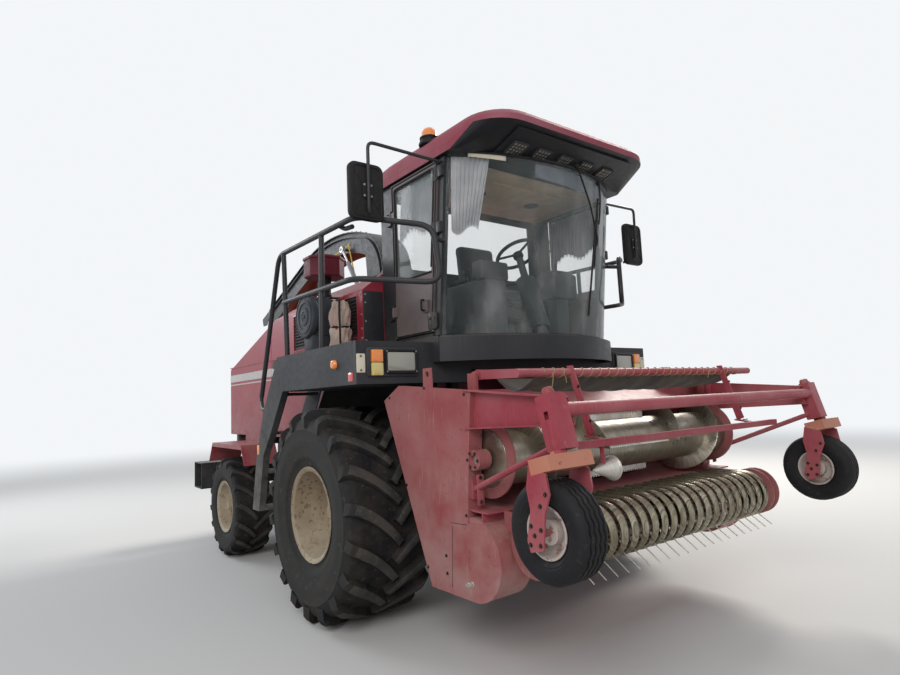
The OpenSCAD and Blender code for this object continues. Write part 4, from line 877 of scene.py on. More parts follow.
for sideName, outward in (("left", 1), ("right", -1)):
    for end, look in (("front", frontTyre), ("rear", rearTyre)):
        wheel = "%s_wheel_%s" % (end, sideName)
        tyrePiece("%s_tyre_tread_%s" % (end, sideName), look, wheel, "%s_tyre_%s" % (end, sideName))
        rimPiece("%s_rim_dish_%s" % (end, sideName), look, wheel, "%s_rim_%s" % (end, sideName), outward)
print("wheels made")

# sheet metal and castings carried over with softened edges: finish, width of the bevel, nodes

refinedLooks = (
    ("chassisPaint", 0.004, ("chassis_frame",)),
    ("axlePaint", 0.004, ("chopper_housing", "knuckle_left", "knuckle_right")),
    ("axlePaint", 0.005, ("front_axle", "rear_axle")),
    ("blackPaint", 0.002, ("spout_flap",)),
    ("blackPaint", 0.003, ("bumper", "spout_turret")),
    ("blackPaint", 0.005, ("front_panel",)),
    ("archPaint", 0.0, ("wheel_arches",)),
    ("enginePaint", 0.012, ("engine_block",)),
    ("hoodPaint", 0.003, ("rear_mudguards",)),
    ("hoodPaint", 0.006, ("engine_hood",)),
    ("fenderPaint", 0.003, ("front_fenders", "platforms")),
    ("cabFloorPaint", 0.004, ("cab_floor",)),
    ("cabFramePaint", 0.005, ("cab_frame",)),
    ("doorPaint", 0.005, ("door_left", "door_right")),
    ("sidePaint", 0.004, ("header_sides",)),
    ("headerPaint", 0.002, ("header_trough",)),
    ("headerPaint", 0.003, ("wind_guard",)),
    ("headerPaint", 0.004, ("header_arms", "feeder", "castor_left", "castor_right")),
    ("greyMetal", 0.003, ("spout_cylinders", "lift_cylinders")),
)
refined = {}
for finishName, bevel, nodeNames in refinedLooks:
    for nodeName in nodeNames:
        refined[nodeName] = refine(nodeName, finishName, bevel)
print("sheet metal refined:", len(refined))

# where the middle of the spout's long bend is, and how far its inner faces are from the middle plane
spoutChannel = dict(bend=(-2.4997, 1.0598), inner=0.158)


def refineSpout():
    # the channel's inner faces are red
    bm = flatten(mergedCopy("spout"))
    bendX, bendZ = at(spoutChannel["bend"][0], 0, 0).x, spoutChannel["bend"][1]
    for face in bm.faces:
        c, n = face.calc_center_median(), face.normal
        down = n.x * (c.x - bendX) + n.z * (c.z - bendZ) < 0
        if abs(c.y) < spoutChannel["inner"] and (down and abs(n.y) < 0.5 or n.y * c.y < -0.01):
            face.material_index = 1
    piece = keepPiece("spout_finished", bm, "blackPaint", "spout", ("spout",), 32, 0.002)
    piece.data.materials.append(finishes["spoutInside"])


refineSpout()

# handrails and mirrors

rail = dict(radius=0.022, hook=0.018, bend=0.11, y=1.55, topZ=2.99, footZ=2.052)


def handrails():
    rails, hooks = [], []
    y, top, foot = rail["y"], rail["topZ"], rail["footZ"]
    for side in (1, -1):
        def spot(x, y, z):
            return at(x, y * side, z)

        rails.append(roundedPath([spot(-1.29, y, 1.72), spot(-0.8, y, top), spot(0.63, 1.536, 2.964),
            spot(0.9425, 1.072, 2.88), spot(0.97, 1.04, 2.46), spot(0.6, 1.545, 2.515), spot(-0.7, y, 2.54)],
            rail["bend"]))
        rails.append([spot(-0.64, y, foot), spot(-0.69, y, top)])
        rails.append([spot(0.06, y, foot), spot(0.06, 1.535, 2.98)])
        hooks.append(roundedPath([spot(-1.287, y, 1.74), spot(-1.29, 1.552, 1.68), spot(-1.21, 1.575, 1.62),
            spot(-1.12, 1.596, 1.6), spot(-1.036, 1.596, 1.6)], 0.06))
        hooks.append([spot(0.948, 1.065, 2.79), spot(0.9, 0.952, 2.79)])
        hooks.append(roundedPath([spot(0.36, 1.522, 2.965), spot(0.4, 1.5, 2.935), spot(0.5, 1.49, 2.93)],
            0.03))
    tubes("handrail_tubes", rails, rail["radius"], "blackPaint", "chassis", ("handrails",))
    tubes("handrail_hooks", hooks, rail["hook"], "blackPaint")


mirror = dict(x=0.766, y=1.53, z=3.1, width=0.275, height=0.415, depth=0.04, corner=0.055,
    rib=(0.003, 0.006, 0.185), ribLean=0.62, lip=0.012, glassRim=0.023, arm=0.0125, clamp=(0.028, 0.04))


def mirrorPieces():
    shell, glass, arms, clampBolts = bmesh.new(), bmesh.new(), [], []
    width, height = mirror["width"], mirror["height"]
    for side in (1, -1):
        centre = at(mirror["x"], mirror["y"] * side, mirror["z"])
        backFace = centre + Vector((mirror["depth"] - 0.001, 0, 0))
        roundedPlate(shell, centre, "+X", width, height, mirror["depth"], mirror["corner"], 0.014)
        roundedPlate(shell, backFace, "+X", width - 0.04, height - 0.04, 0.006, 0.045, 0.003,
            frameWidth=mirror["lip"])
        roundedPlate(shell, backFace, "+X", 0.085, 0.11, 0.012, 0.012, 0.004)
        for tilt in (mirror["ribLean"], -mirror["ribLean"]):
            made = slab(shell, -Vector(mirror["rib"]), mirror["rib"])
            turn = Matrix.Translation(centre + Vector((mirror["depth"], 0, 0))) @ Matrix.Rotation(tilt, 4,
                "X")
            bmesh.ops.transform(shell, matrix=turn, verts=made)
        roundedPlate(glass, centre - Vector((0.0005, 0, 0)), "-X", width - mirror["glassRim"],
            height - mirror["glassRim"], 0.003, 0.045, 0.001)
        y = mirror["y"] * side
        arms.append(roundedPath([at(0.905, 0.953 * side, 3.4), at(0.83, y, 3.452), at(0.822, y, 2.94),
            at(0.73, 1.434 * side, 2.919)], 0.05))
        for dy in (-mirror["clamp"][0], mirror["clamp"][0]):
            for dz in (-mirror["clamp"][1], mirror["clamp"][1]):
                clampBolts.append((centre + Vector((0.05, dy, dz)), (1, 0, 0)))
    keepPiece("mirror_shells", shell, "trimRubber", "chassis", ("mirrors",), 40)
    keepPiece("mirror_faces", glass, "mirrorGlass")
    tubes("mirror_arms", arms, mirror["arm"], "blackPaint")
    boltsAt("mirror_bolts", clampBolts, 0.006)


handrails()
mirrorPieces()
print("rails and mirrors made")

# lamps: each row of a table is place, way it faces, width, height, depth, corner, edge

lampLook = dict(face=0.7505, headY=1.275, headZ=1.905, turnY=1.472, plateY=1.59, bezel=0.02,
    sideLamp=(0.43, 1.639, 1.906), sideRadius=0.036)


def lampPiece(name, bm, finishName):
    return keepPiece(name, bm, finishName, smooth=40)


def sideLamp(bm, side):
    # a low dome with a rounded edge
    radius = lampLook["sideRadius"]
    made = bmesh.ops.create_cone(bm, cap_ends=True, segments=28, radius1=radius, radius2=radius - 0.006,
        depth=0.026)["verts"]
    edge = [e for e in bm.edges if all(v in made for v in e.verts) and min(v.co.z for v in e.verts) > 0.012]
    bmesh.ops.bevel(bm, geom=edge, offset=0.01, segments=3, profile=0.5, affect="EDGES", material=-1)
    fresh = [v for v in bm.verts if abs(v.co.x) < 0.05 and abs(v.co.y) < 0.05]
    x, y, z = lampLook["sideLamp"]
    turn = Matrix.Translation(at(x, y * side, z)) @ faceTurns[outwards[side]]
    bmesh.ops.transform(bm, matrix=turn, verts=fresh)


def frontLamps():
    housing, bezel, lens, amber, pale, cream, red, sides, legs, rear = (bmesh.new() for _ in range(10))
    bolts, screws = [], []
    face, headY, headZ = lampLook["face"], lampLook["headY"], lampLook["headZ"]
    turnY, plateY = lampLook["turnY"], lampLook["plateY"]
    for side in (1, -1):
        roundedPlate(bezel, at(face + 0.01, headY * side, headZ), "+X", 0.27, 0.172, 0.022, 0.022, 0.006,
            frameWidth=lampLook["bezel"])
        for bm, place, turn, *sizes in (
                (housing, (face, 1.337, 1.902), "+X", 0.425, 0.205, 0.012, 0.024, 0.006),
                (lens, (face + 0.006, headY, headZ), "+X", 0.232, 0.134, 0.02, 0.012, 0.006),
                (amber, (face + 0.008, turnY, 1.943), "+X", 0.088, 0.088, 0.024, 0.008, 0.006),
                (pale, (face + 0.008, turnY, 1.852), "+X", 0.088, 0.09, 0.024, 0.008, 0.006),
                (cream, (face - 0.001, plateY, 1.894), "+X", 0.066, 0.13, 0.005, 0.006, 0.0015),
                (red, (0.668, 1.6255, 1.803), outwards[side], 0.066, 0.06, 0.003, 0.004, 0.001),
                (legs, (-1.17, 1.6255, 1.235), outwards[side], 0.05, 0.085, 0.006, 0.006, 0.002),
                (rear, (-3.932, 1.29, 0.8), "-X", 0.18, 0.12, 0.02, 0.012, 0.005)):
            roundedPlate(bm, at(place[0], place[1] * side, place[2]), turn, *sizes)
        sideLamp(sides, side)
        bolts += [(at(face + 0.004, plateY * side, z), (1, 0, 0)) for z in (1.845, 1.942)]
        screws += [(at(face + 0.032, (headY + dy) * side, headZ + dz), (1, 0, 0)) for dy in (-0.122, 0.122)
            for dz in (-0.072, 0.072)]
    keepPiece("lamp_housings", housing, "cabPlastic", "chassis", ("lamps",), 40)
    lampPiece("lamp_bezels", bezel, "trimRubber")
    for name, bm, finishName in (
            ("headlamp_lenses", lens, "clearLens"),
            ("turn_lenses", amber, "amberLens"),
            ("position_lenses", pale, "yellowLens"),
            ("reflector_plates", cream, "creamPaint"),
            ("red_reflectors", red, "redLens"),
            ("side_lamps", sides, "amberLens"),
            ("leg_reflectors", legs, "amberLens"),
            ("rear_lamps", rear, "redLens")):
        lampPiece(name, bm, finishName)
    boltsAt("plate_bolts", bolts, 0.006, "chassis", "rustyCast")
    boltsAt("bezel_screws", screws, 0.004, "chassis", "greyMetal")


visorLook = dict(ys=(-0.5, -0.25, 0.0, 0.25, 0.5), size=0.15, frame=0.014, glass=0.124, bar=0.0035,
    reach=0.062, pitch=0.031, low=0.008, high=0.014)


def visorLamps():
    # work lamps under the visor, each behind a grid
    visor = leaned(at(1.09, 0, 3.44), -16)
    flip = Matrix.Rotation(math.pi, 4, "X")
    frames, glass, grid = bmesh.new(), bmesh.new(), bmesh.new()
    size, bar, reach = visorLook["size"], visorLook["bar"], visorLook["reach"]
    for y in visorLook["ys"]:
        down = visor @ Matrix.Translation((0.175, y, -0.0125)) @ flip
        roundedPlate(frames, (0, 0, 0), down, size, size, 0.016, 0.016, 0.004, frameWidth=visorLook["frame"])
        roundedPlate(glass, (0, 0, 0), down, visorLook["glass"], visorLook["glass"], 0.009, 0.01, 0.003)
        for i in (-1, 0, 1):
            along = i * visorLook["pitch"]
            for u, v, halfU, halfV in ((along, 0, bar, reach), (0, along, reach, bar)):
                made = slab(grid, (u - halfU, v - halfV, visorLook["low"]),
                    (u + halfU, v + halfV, visorLook["high"]))
                bmesh.ops.transform(grid, matrix=down, verts=made)
    lampPiece("visor_lamp_frames", frames, "cabPlastic")
    lampPiece("visor_lamp_glass", glass, "clearLens")
    keepPiece("visor_lamp_grids", grid, "cabPlastic")


beaconLook = dict(place=(0.65, -0.86, 3.64), wide=1.3, steps=36)


def beacon():
    foot = [(0, 0), (0.066, 0), (0.068, 0.012), (0.062, 0.03), (0.052, 0.04), (0.054, 0.052), (0.06, 0.056),
        (0.06, 0.066), (0, 0.066)]
    dome = [(0, 0.06), (0.05, 0.06), (0.05, 0.072), (0.047, 0.078), (0.048, 0.098), (0.044, 0.12),
        (0.032, 0.14), (0.015, 0.149), (0, 0.151)]
    shapes = []
    for profile in (foot, dome):
        bm = spun([(r * beaconLook["wide"], z) for r, z in profile], beaconLook["steps"])
        shift(bm, at(*beaconLook["place"]))
        shapes.append(bm)
    keepPiece("beacon_foot", shapes[0], "trimRubber")
    lampPiece("beacon_dome", shapes[1], "amberLens")


frontLamps()
visorLamps()
beacon()
print("lamps made")

# hood: stripes, grille meshes, seams and bolts

hoodLook = dict(side=1.1502, stripes=((1.957, 2.046), (1.914, 1.928)), rear=-3.549, front=-1.02,
    seams=((-2.1, 2.5), (-0.77, 2.565)), windows=((-1.45, -0.82), (-0.72, -0.09)), windowZ=(2.18, 2.53),
    wires=26, wire=0.002, boltZ=(2.16, 2.24, 2.36, 2.48, 2.54), boltX=(-3.5, -3.0, -2.5, -2.16),
    plateY=(0.955, 1.144))


def hoodTrim():
    white, seams, mesh, plates = (bmesh.new() for _ in range(4))
    bolts, plateBolts = [], []
    y = hoodLook["side"]
    z0, z1 = hoodLook["windowZ"]
    for side in (1, -1):
        for stripe in hoodLook["stripes"]:
            sideSlab(white, side, (hoodLook["rear"], hoodLook["front"]), (y, y + 0.0012), stripe)
        for x, top in hoodLook["seams"]:
            sideSlab(seams, side, (x - 0.003, x + 0.003), (y, y + 0.0016), (1.31, top))
        sideSlab(seams, side, (-3.54, -1.0), (y, y + 0.006), (2.132, 2.146))
        for x0, x1 in hoodLook["windows"]:
            centre = at((x0 + x1) / 2, y * side, (z0 + z1) / 2)
            roundedPlate(seams, centre, outwards[side], x1 - x0 + 0.036, z1 - z0 + 0.036, 0.004, 0.022, 0.001,
                frameWidth=0.02)
            for i in range(1, hoodLook["wires"]):
                x = x0 + (x1 - x0) * i / hoodLook["wires"]
                sideSlab(mesh, side, (x - hoodLook["wire"], x + hoodLook["wire"]), (y - 0.01, y - 0.006),
                    (z0 + 0.004, z1 - 0.004))
        bolts += [(at(-0.012, 1.1505 * side, z), (0, side, 0)) for z in hoodLook["boltZ"]]
        bolts += [(at(x, 1.1505 * side, 1.34), (0, side, 0)) for x in hoodLook["boltX"]]
        # black plates beside the cab, between hood and cab
        sideSlab(plates, side, (0.0055, 0.0095), hoodLook["plateY"], (2.052, 2.56), 0.001)
        plateBolts += [(at(0.0095, 1.125 * side, z), (1, 0, 0)) for z in (2.14, 2.3, 2.46, 2.53)]
    keepPiece("hood_stripes", white, "stripePaint")
    keepPiece("hood_seams", seams, "hoodPaint")
    keepPiece("hood_meshes", mesh, "meshPaint")
    keepPiece("hood_front_plates", plates, "blackPaint")
    boltsAt("hood_bolts", bolts, 0.007, "chassis", "greyMetal")
    boltsAt("hood_plate_bolts", plateBolts, 0.006)


radiatorLook = dict(rear=-3.46, depth=0.07, half=0.86, low=1.42, high=2.04, step=0.022, thick=0.004)


def radiator():
    # the cooler behind the rear grille: two tanks, a frame and upright fins
    rear, half, low, high = (radiatorLook[key] for key in ("rear", "half", "low", "high"))
    front = rear + radiatorLook["depth"]
    bm = bmesh.new()
    for z0, z1 in ((low - 0.05, low), (high, high + 0.04)):
        slab(bm, at(rear, -half, z0), at(front, half, z1), 0.008)
    for y in (-half, half):
        slab(bm, at(rear, y - 0.01, low), at(front, y + 0.01, high))
    slab(bm, at(front - 0.012, -half, low), at(front - 0.004, half, high))
    y = -half + radiatorLook["step"]
    while y < half - radiatorLook["thick"]:
        slab(bm, at(rear + 0.006, y, low), at(front - 0.012, y + radiatorLook["thick"], high))
        y += radiatorLook["step"]
    keepPiece("radiator_core", bm, "meshPaint", smooth=30)


hoodTrim()
radiator()
refine("hood_grilles", "meshPaint", 0.001)
print("hood trimmed")

# the roof: red above, black under the visor


def refineRoof():
    bm = flatten(mergedCopy("cab_roof"))
    piece = keepPiece("cab_roof_finished", bm, "roofPaint", "chassis", ("cab_roof",),
        32, 0.01)
    piece.data.materials.append(finishes["cabFramePaint"])
    for face in piece.data.polygons:
        if face.normal.z < -0.45:
            face.material_index = 1


refineRoof()

# spout: bolts along its flanges and the two yellow straps

# centres and radii of the long bend and of the bend at its root, angles in degrees
spoutLook = dict(bend=(-2.4997, 1.0598), radius=2.69, root=(-1.84, 3.043), rootRadius=0.6, start=109.0,
    end=71.6, boltStep=2.35, boltY=0.178, tailBolts=12, tailStep=0.11, rootBolts=8)


def onBend(centre, radius, angle):
    # a point on an arc in the middle plane, and the direction out of it
    a = math.radians(angle)
    out = Vector((math.cos(a), 0, math.sin(a)))
    return at(centre[0], 0, centre[1]) + out * radius, out


def spoutPoint(angle, depth=0.0):
    # a point on the outer line of the long bend, depth below it, and the outward direction
    return onBend(spoutLook["bend"], spoutLook["radius"] - depth, angle)


def spoutBolts():
    start = spoutLook["start"]
    count = int((start - spoutLook["end"]) / spoutLook["boltStep"])
    rows = [spoutPoint(start - i * spoutLook["boltStep"]) for i in range(count + 1)]
    tail, out = spoutPoint(start)
    along = Vector((-out.z, 0, out.x))
    rows += [(tail + along * (spoutLook["tailStep"] * i), out) for i in range(1, spoutLook["tailBolts"] + 1)]
    rows += [onBend(spoutLook["root"], spoutLook["rootRadius"], 68 - 9 * i)
        for i in range(spoutLook["rootBolts"])]
    across = Vector((0, spoutLook["boltY"], 0))
    places = [(place + way, out) for place, out in rows for way in (-across, across)]
    boltsAt("spout_bolts", places, 0.008, "spout", "rustyCast")


def strapPiece(name, path, width, thick, finishName, body, sideways):
    # a flat strap along a path, its width along the sideways direction
    bm = bmesh.new()
    across = Vector(sideways).normalized() * width / 2
    rings = []
    for i, point in enumerate(path):
        before, after = path[max(i - 1, 0)], path[min(i + 1, len(path) - 1)]
        up = (after - before).cross(across).normalized() * thick / 2
        rings.append([bm.verts.new(point + a + u) for a, u in ((across, up), (-across, up), (-across, -up),
            (across, -up))])
    joinRings(bm, rings)
    return keepPiece(name, bm, finishName, body, smooth=60)


strapLook = dict(width=0.024, thick=0.003, y=-0.1675, steps=26, first=79.7, turn=28.8, depth=0.142,
    drop=0.094)


def straps():
    # the long strap lies on the spout's side, from its tie down to the lower edge and along it
    path = []
    for i in range(strapLook["steps"] + 1):
        u = i / strapLook["steps"]
        depth = strapLook["depth"] + strapLook["drop"] * min(1.0, u * 3) ** 0.7
        place, out = spoutPoint(strapLook["first"] + strapLook["turn"] * u, depth)
        path.append(place + Vector((0, strapLook["y"], 0)))
    top, foot = at(-2.019, -0.207, 3.564), at(-1.905, -0.18, 3.127)
    hanging = [top.lerp(foot, i / 12) for i in range(13)]
    for name, line, sideways in (("strap_long", path, (0.1, 0, 1)), ("strap_short", hanging, (1, 0, 0.25))):
        strapPiece(name, line, strapLook["width"], strapLook["thick"], "strapCloth", "spout",
            sideways)


# how far up each rod its inner end begins and ends
rodLook = dict(y=0.24, low=0.13, high=0.3498, radius=0.0128)


def rodTails():
    # the inner ends of the two rods, which show when the spout is lifted
    foot, eye = at(-1.69, 0, 2.93), at(-2.1, 0, 3.5)
    along = (eye - foot).normalized()
    bm = bmesh.new()
    for y in (-rodLook["y"], rodLook["y"]):
        start = foot + Vector((0, y, 0))
        rodBetween(bm, start + along * rodLook["low"], start + along * rodLook["high"], rodLook["radius"], 20)
    keepPiece("spout_rod_tails", bm, "rodSteel", "spout_rods")


spoutBolts()
straps()
rodTails()

# the air cleaner: ringed disc, duct and eight-sided cap

cleaner = dict(x=-0.55, z=2.4, face=-1.441, radius=0.192, capX=-0.52, capY=-1.24, capLow=2.75, capHigh=2.94,
    capRadius=0.189)
# the disc's rings from its back round to its middle: (part of its radius, how far in)
cleanerRings = ((0.9, -0.002), (0.88, 0.004), (0.8, 0.004), (0.78, -0.003), (0.62, -0.004), (0.6, 0.003),
    (0.42, 0.003), (0.4, -0.004), (0.22, -0.006), (0.2, 0.0), (0.1, -0.001), (0.08, -0.01), (0, -0.011))


def airCleaner():
    r = cleaner["radius"]
    rim = [(0, 0.06), (r * 0.96, 0.06), (r, 0.05), (r, 0.012), (r - 0.006, 0.002)]
    bm = spun(rim + [(r * part, depth) for part, depth in cleanerRings], 56, "Y")
    shift(bm, at(cleaner["x"], cleaner["face"] + 0.012, cleaner["z"]))
    slab(bm, at(-0.638, -1.398, 2.052), at(-0.462, -1.202, 2.288), 0.018)
    slab(bm, at(-0.655, -1.385, 2.22), at(-0.445, -1.19, 2.57), 0.03)
    keepPiece("air_cleaner_disc", bm, "housingPlastic", "chassis", ("air_cleaner",), 35)
    capPlace = at(cleaner["capX"], cleaner["capY"], 0)
    duct = spun([(0.058, 2.56), (0.062, 2.565), (0.062, 2.6), (0.056, 2.605), (0.056, 2.66), (0.062, 2.665),
        (0.062, 2.7), (0.058, 2.76)], 32)
    shift(duct, capPlace)
    keepPiece("air_cleaner_duct", duct, "trimRubber")
    low, high, wide = cleaner["capLow"], cleaner["capHigh"], cleaner["capRadius"]
    cap = spun([(0, low + 0.004), (wide * 0.86, low + 0.004), (wide * 0.9, low), (wide * 0.95, low + 0.012),
        (wide * 0.95, high - 0.035), (wide, high - 0.03), (wide, high - 0.012), (wide * 0.96, high - 0.004),
        (wide * 0.35, high), (0, high)], 8)
    bmesh.ops.rotate(cap, cent=(0, 0, 0), matrix=Matrix.Rotation(math.radians(22.5), 3, "Z"), verts=cap.verts)
    shift(cap, capPlace)
    keepPiece("air_cleaner_cap", cap, "darkRedPaint", smooth=20, bevel=0.003)


airCleaner()

# the extinguisher in its cloth wrapping, held by a strap

bottle = dict(x=-0.13, y=-1.29, low=2.051, radius=0.075, wrapLow=2.095, wrapHigh=2.475, tie=0.42,
    tieRadius=0.082)


def declareSheet(piece):
    # adds up the cloth's area; the sum is not used
    bm = bmesh.new()
    bm.from_mesh(piece.data)
    area = sum(face.calc_area() for face in bm.faces)
    bm.free()


def gridPiece(name, across, along, place, finishName, body, replaced=()):
    # a sheet whose points come from place(u, v), u across and v along it
    bm = bmesh.new()
    bmesh.ops.create_grid(bm, x_segments=across, y_segments=along, size=0.5)
    for v in bm.verts:
        v.co = place(v.co.x + 0.5, v.co.y + 0.5)
    return keepPiece(name, bm, finishName, body, replaced, 80)


def aroundBottle(radius, turn, z):
    return at(bottle["x"] + radius * math.cos(turn), bottle["y"] + radius * math.sin(turn), z)


def wrapHeight(v):
    return bottle["wrapLow"] + (bottle["wrapHigh"] - bottle["wrapLow"]) * v


def wrapPoint(u, v):
    # a little more than once round, drawn in at the tie and gathered at the top
    turn = u * math.tau * 1.06
    pinch = 0.01 * math.exp(-((v - bottle["tie"]) / 0.045) ** 2)
    gathered = 0.026 * max(0.0, v - 0.8) / 0.2
    fold = 0.0045 * math.sin(5 * turn + 9 * v) + 0.003 * math.sin(11 * turn - 14 * v + 1.3)
    fold += 0.004 * math.sin(17 * v + 2 * turn)
    radius = bottle["radius"] + 0.01 + fold - pinch - gathered + 0.004 * u
    lift = 0.012 * math.sin(3 * turn) * (1 - v) + 0.008 * math.sin(4 * turn + 1) * v
    return aroundBottle(radius, turn, wrapHeight(v) + lift)


def extinguisher():
    r, low = bottle["radius"], bottle["low"]
    x, y = bottle["x"], bottle["y"]
    bm = spun([(0, low), (r - 0.008, low), (r, low + 0.01), (r, low + 0.335), (r * 0.93, low + 0.365),
        (r * 0.7, low + 0.395), (0.026, low + 0.412), (0.022, low + 0.42), (0.022, low + 0.44),
        (0.03, low + 0.442), (0.03, low + 0.462), (0, low + 0.462)], 40)
    shift(bm, at(x, y, 0))
    keepPiece("extinguisher_bottle", bm, "extinguisherPaint", "chassis", ("extinguisher",))
    wrap = gridPiece("extinguisher_wrap", 110, 60, wrapPoint, "ragCloth", "chassis")
    declareSheet(wrap)
    head = bmesh.new()
    slab(head, at(x - 0.018, y - 0.105, 2.497), at(x + 0.018, y + 0.035, 2.509), 0.004)
    slab(head, at(x - 0.016, y - 0.085, 2.474), at(x + 0.016, y + 0.02, 2.484), 0.004)
    keepPiece("extinguisher_handle", head, "trimRubber")
    ring = [aroundBottle(bottle["tieRadius"], math.tau * i / 36, wrapHeight(bottle["tie"]))
        for i in range(37)]
    strapPiece("extinguisher_strap", ring, 0.016, 0.004, "trimRubber", "chassis",
        (0, 0, 1))
    hose = roundedPath([at(-0.11, -1.3, 2.49), at(-0.04, -1.34, 2.5), at(0.012, -1.37, 2.36),
        at(0.022, -1.372, 2.2), at(0.012, -1.365, 2.062)], 0.09, 7)
    tubes("extinguisher_hose", [hose], 0.009, "trimRubber")


extinguisher()
print("spout, air cleaner and extinguisher made")

# header: bolts, seams and brackets

headerSide = dict(y=1.3302, bolts=((1.121, 1.701), (1.538, 1.647), (0.687, 1.649), (0.874, 1.058),
    (1.512, 0.935), (1.295, 0.667), (1.299, 0.563), (1.095, 0.563)), nuts=((1.5, 0.537), (1.538, 0.548)),
    seams=(((1.37, 0.855), (1.344, 0.491)), ((1.353, 0.874), (1.512, 0.88))))
# the strut's bracket, and the two legs of the arm's bolted root on the post: x, y and z, each (from, to)
headerBrackets = (((1.598, 1.606), (1.262, 1.312), (1.0, 1.175)), ((1.604, 1.612), (1.239, 1.289),
    (1.448, 1.655)), ((1.604, 1.65), (1.235, 1.243), (1.448, 1.655)))
bracketBolts = ((1.606, 1.287, 1.018), (1.606, 1.287, 1.158), (1.612, 1.262, 1.49), (1.612, 1.262, 1.61))
flangeBolts = dict(count=6, radius=0.045)

auger = dict(x=1.59, z=1.26, radius=0.265, drum=0.17, start=0.39, length=0.79, turns=1.5, steps=120,
    thick=0.006, stripLength=0.338, stripLow=0.166, stripHigh=0.214, teeth=13, stripRows=4, shaft=0.03)


def headerTrim():
    dark, pale, plateBolts, seam, plates = [], [], [], bmesh.new(), bmesh.new()
    y = headerSide["y"]
    for side in (1, -1):
        out = (0, side, 0)
        dark += [(at(x, y * side, z), out) for x, z in headerSide["bolts"]]
        pale += [(at(x, y * side, z), out) for x, z in headerSide["nuts"]]
        for ends in headerSide["seams"]:
            a, b = (at(x, (y - 0.0006) * side, z) for x, z in ends)
            rodBetween(seam, a, b, 0.0022, 6)
        for sizes in headerBrackets:
            sideSlab(plates, side, *sizes, 0.002)
        plateBolts += [(at(x, across * side, z), (1, 0, 0)) for x, across, z in bracketBolts]
        # the bearing flange of the auger
        for k in range(flangeBolts["count"]):
            a, r = math.tau * k / flangeBolts["count"], flangeBolts["radius"]
            dark.append((at(auger["x"] + r * math.cos(a), y * side, auger["z"] + r * math.sin(a)), out))
    boltsAt("header_bolts", dark, 0.0075, "header", "boltSteel")
    boltsAt("header_nuts", pale, 0.011, "header", "zincSteel")
    boltsAt("bracket_bolts", plateBolts, 0.0085, "header", "boltSteel")
    keepPiece("header_seams", seam, "archPaint", "header")
    keepPiece("header_brackets", plates, "headerPaint", "header")


headerTrim()

# the auger: drum, smooth flights, toothed strips and end discs


def augerFlight(bm, side):
    # a spiral blade from the end towards the middle, its section (radius, along) with small chamfers
    low, high, thick = auger["drum"] - 0.004, auger["radius"], auger["thick"]
    section = ((low, 0), (high - 0.004, 0), (high - 0.001, 0.0015), (high - 0.001, thick - 0.0015),
        (high - 0.004, thick), (low, thick))
    rings = []
    for i in range(auger["steps"] + 1):
        t = i / auger["steps"]
        a = t * auger["turns"] * math.tau
        start = auger["start"] + auger["length"] * t
        rings.append([bm.verts.new((r * math.cos(a), (start + dy) * side, r * math.sin(a))) for r,
            dy in section])
    joinRings(bm, rings)


def augerStrips():
    # toothed strips along the middle of the drum
    strips = bmesh.new()
    length, low, high = auger["stripLength"], auger["stripLow"], auger["stripHigh"]
    step = length / auger["teeth"]
    outline = [(0.0, low), (0.0, high - 0.002)]
    for k in range(auger["teeth"]):
        outline += [((k + 0.3) * step, high), ((k + 0.55) * step, high - 0.016), ((k + 0.95) * step, high)]
    outline += [(length, high - 0.002), (length, low)]
    for turn in range(auger["stripRows"]):
        made = []
        for half in (-1, 1):
            face = strips.faces.new([strips.verts.new((r, half * along, -0.004)) for along, r in outline])
            out = bmesh.ops.extrude_face_region(strips, geom=[face])
            moved = [v for v in out["geom"] if isinstance(v, bmesh.types.BMVert)]
            bmesh.ops.translate(strips, vec=(0, 0, 0.008), verts=moved)
            made += moved + list(face.verts)
        angle = math.tau * turn / auger["stripRows"]
        bmesh.ops.rotate(strips, cent=(0, 0, 0), matrix=Matrix.Rotation(angle, 3, "Y"), verts=list(set(made)))
    bmesh.ops.recalc_face_normals(strips, faces=strips.faces)
    return strips


def augerPiece():
    centre = at(auger["x"], 0, auger["z"])
    drum = auger["drum"]
    bm = spun([(0, -1.215), (drum - 0.001, -1.215), (drum, -1.214), (drum, 1.214), (drum - 0.001, 1.215),
        (0, 1.215)], 64, "Y")
    for side in (1, -1):
        augerFlight(bm, side)
    shift(bm, centre)
    keepPiece("auger_drum", bm, "drumSteel", "header_auger", ("header_auger",), 40)
    strips = augerStrips()
    shift(strips, centre)
    keepPiece("auger_strips", strips, "stripSteel", "header_auger", smooth=20)
    disc = asMesh(spun([(0.172, 0.0), (0.233, 0.0), (0.235, 0.003), (0.235, 0.013), (0.233, 0.016),
        (0.172, 0.016)], 56, "Y"))
    discs = bmesh.new()
    stampAt(discs, disc, centre + Vector((0, 1.197, 0)), centre - Vector((0, 1.213, 0)))
    keepPiece("auger_discs", discs, "sidePaint", "header_auger")
    shaft = bmesh.new()
    end = Vector((0, 1.298, 0))
    rodBetween(shaft, centre - end, centre + end, auger["shaft"], 32)
    keepPiece("auger_shaft", shaft, "rodSteel", "header_auger", bevel=0.003)


augerPiece()

# the pick-up: rounded bands with dark gaps, and rows of spring tines

# rows of tines: (angle, how far its tines are folded back)
pickup = dict(x=1.96, z=0.81, band=0.17, thick=0.0045, count=22, width=2.2, wide=0.066, crown=0.01,
    back=1.7003, under=(1.6503, 0.603), tip=0.29, bar=0.11, rows=((45, 0), (135, 0), (225, 110), (315, 110)),
    barRadius=0.0135, axle=0.025, axleHalf=1.224, barHalf=1.12, tine=0.0038)
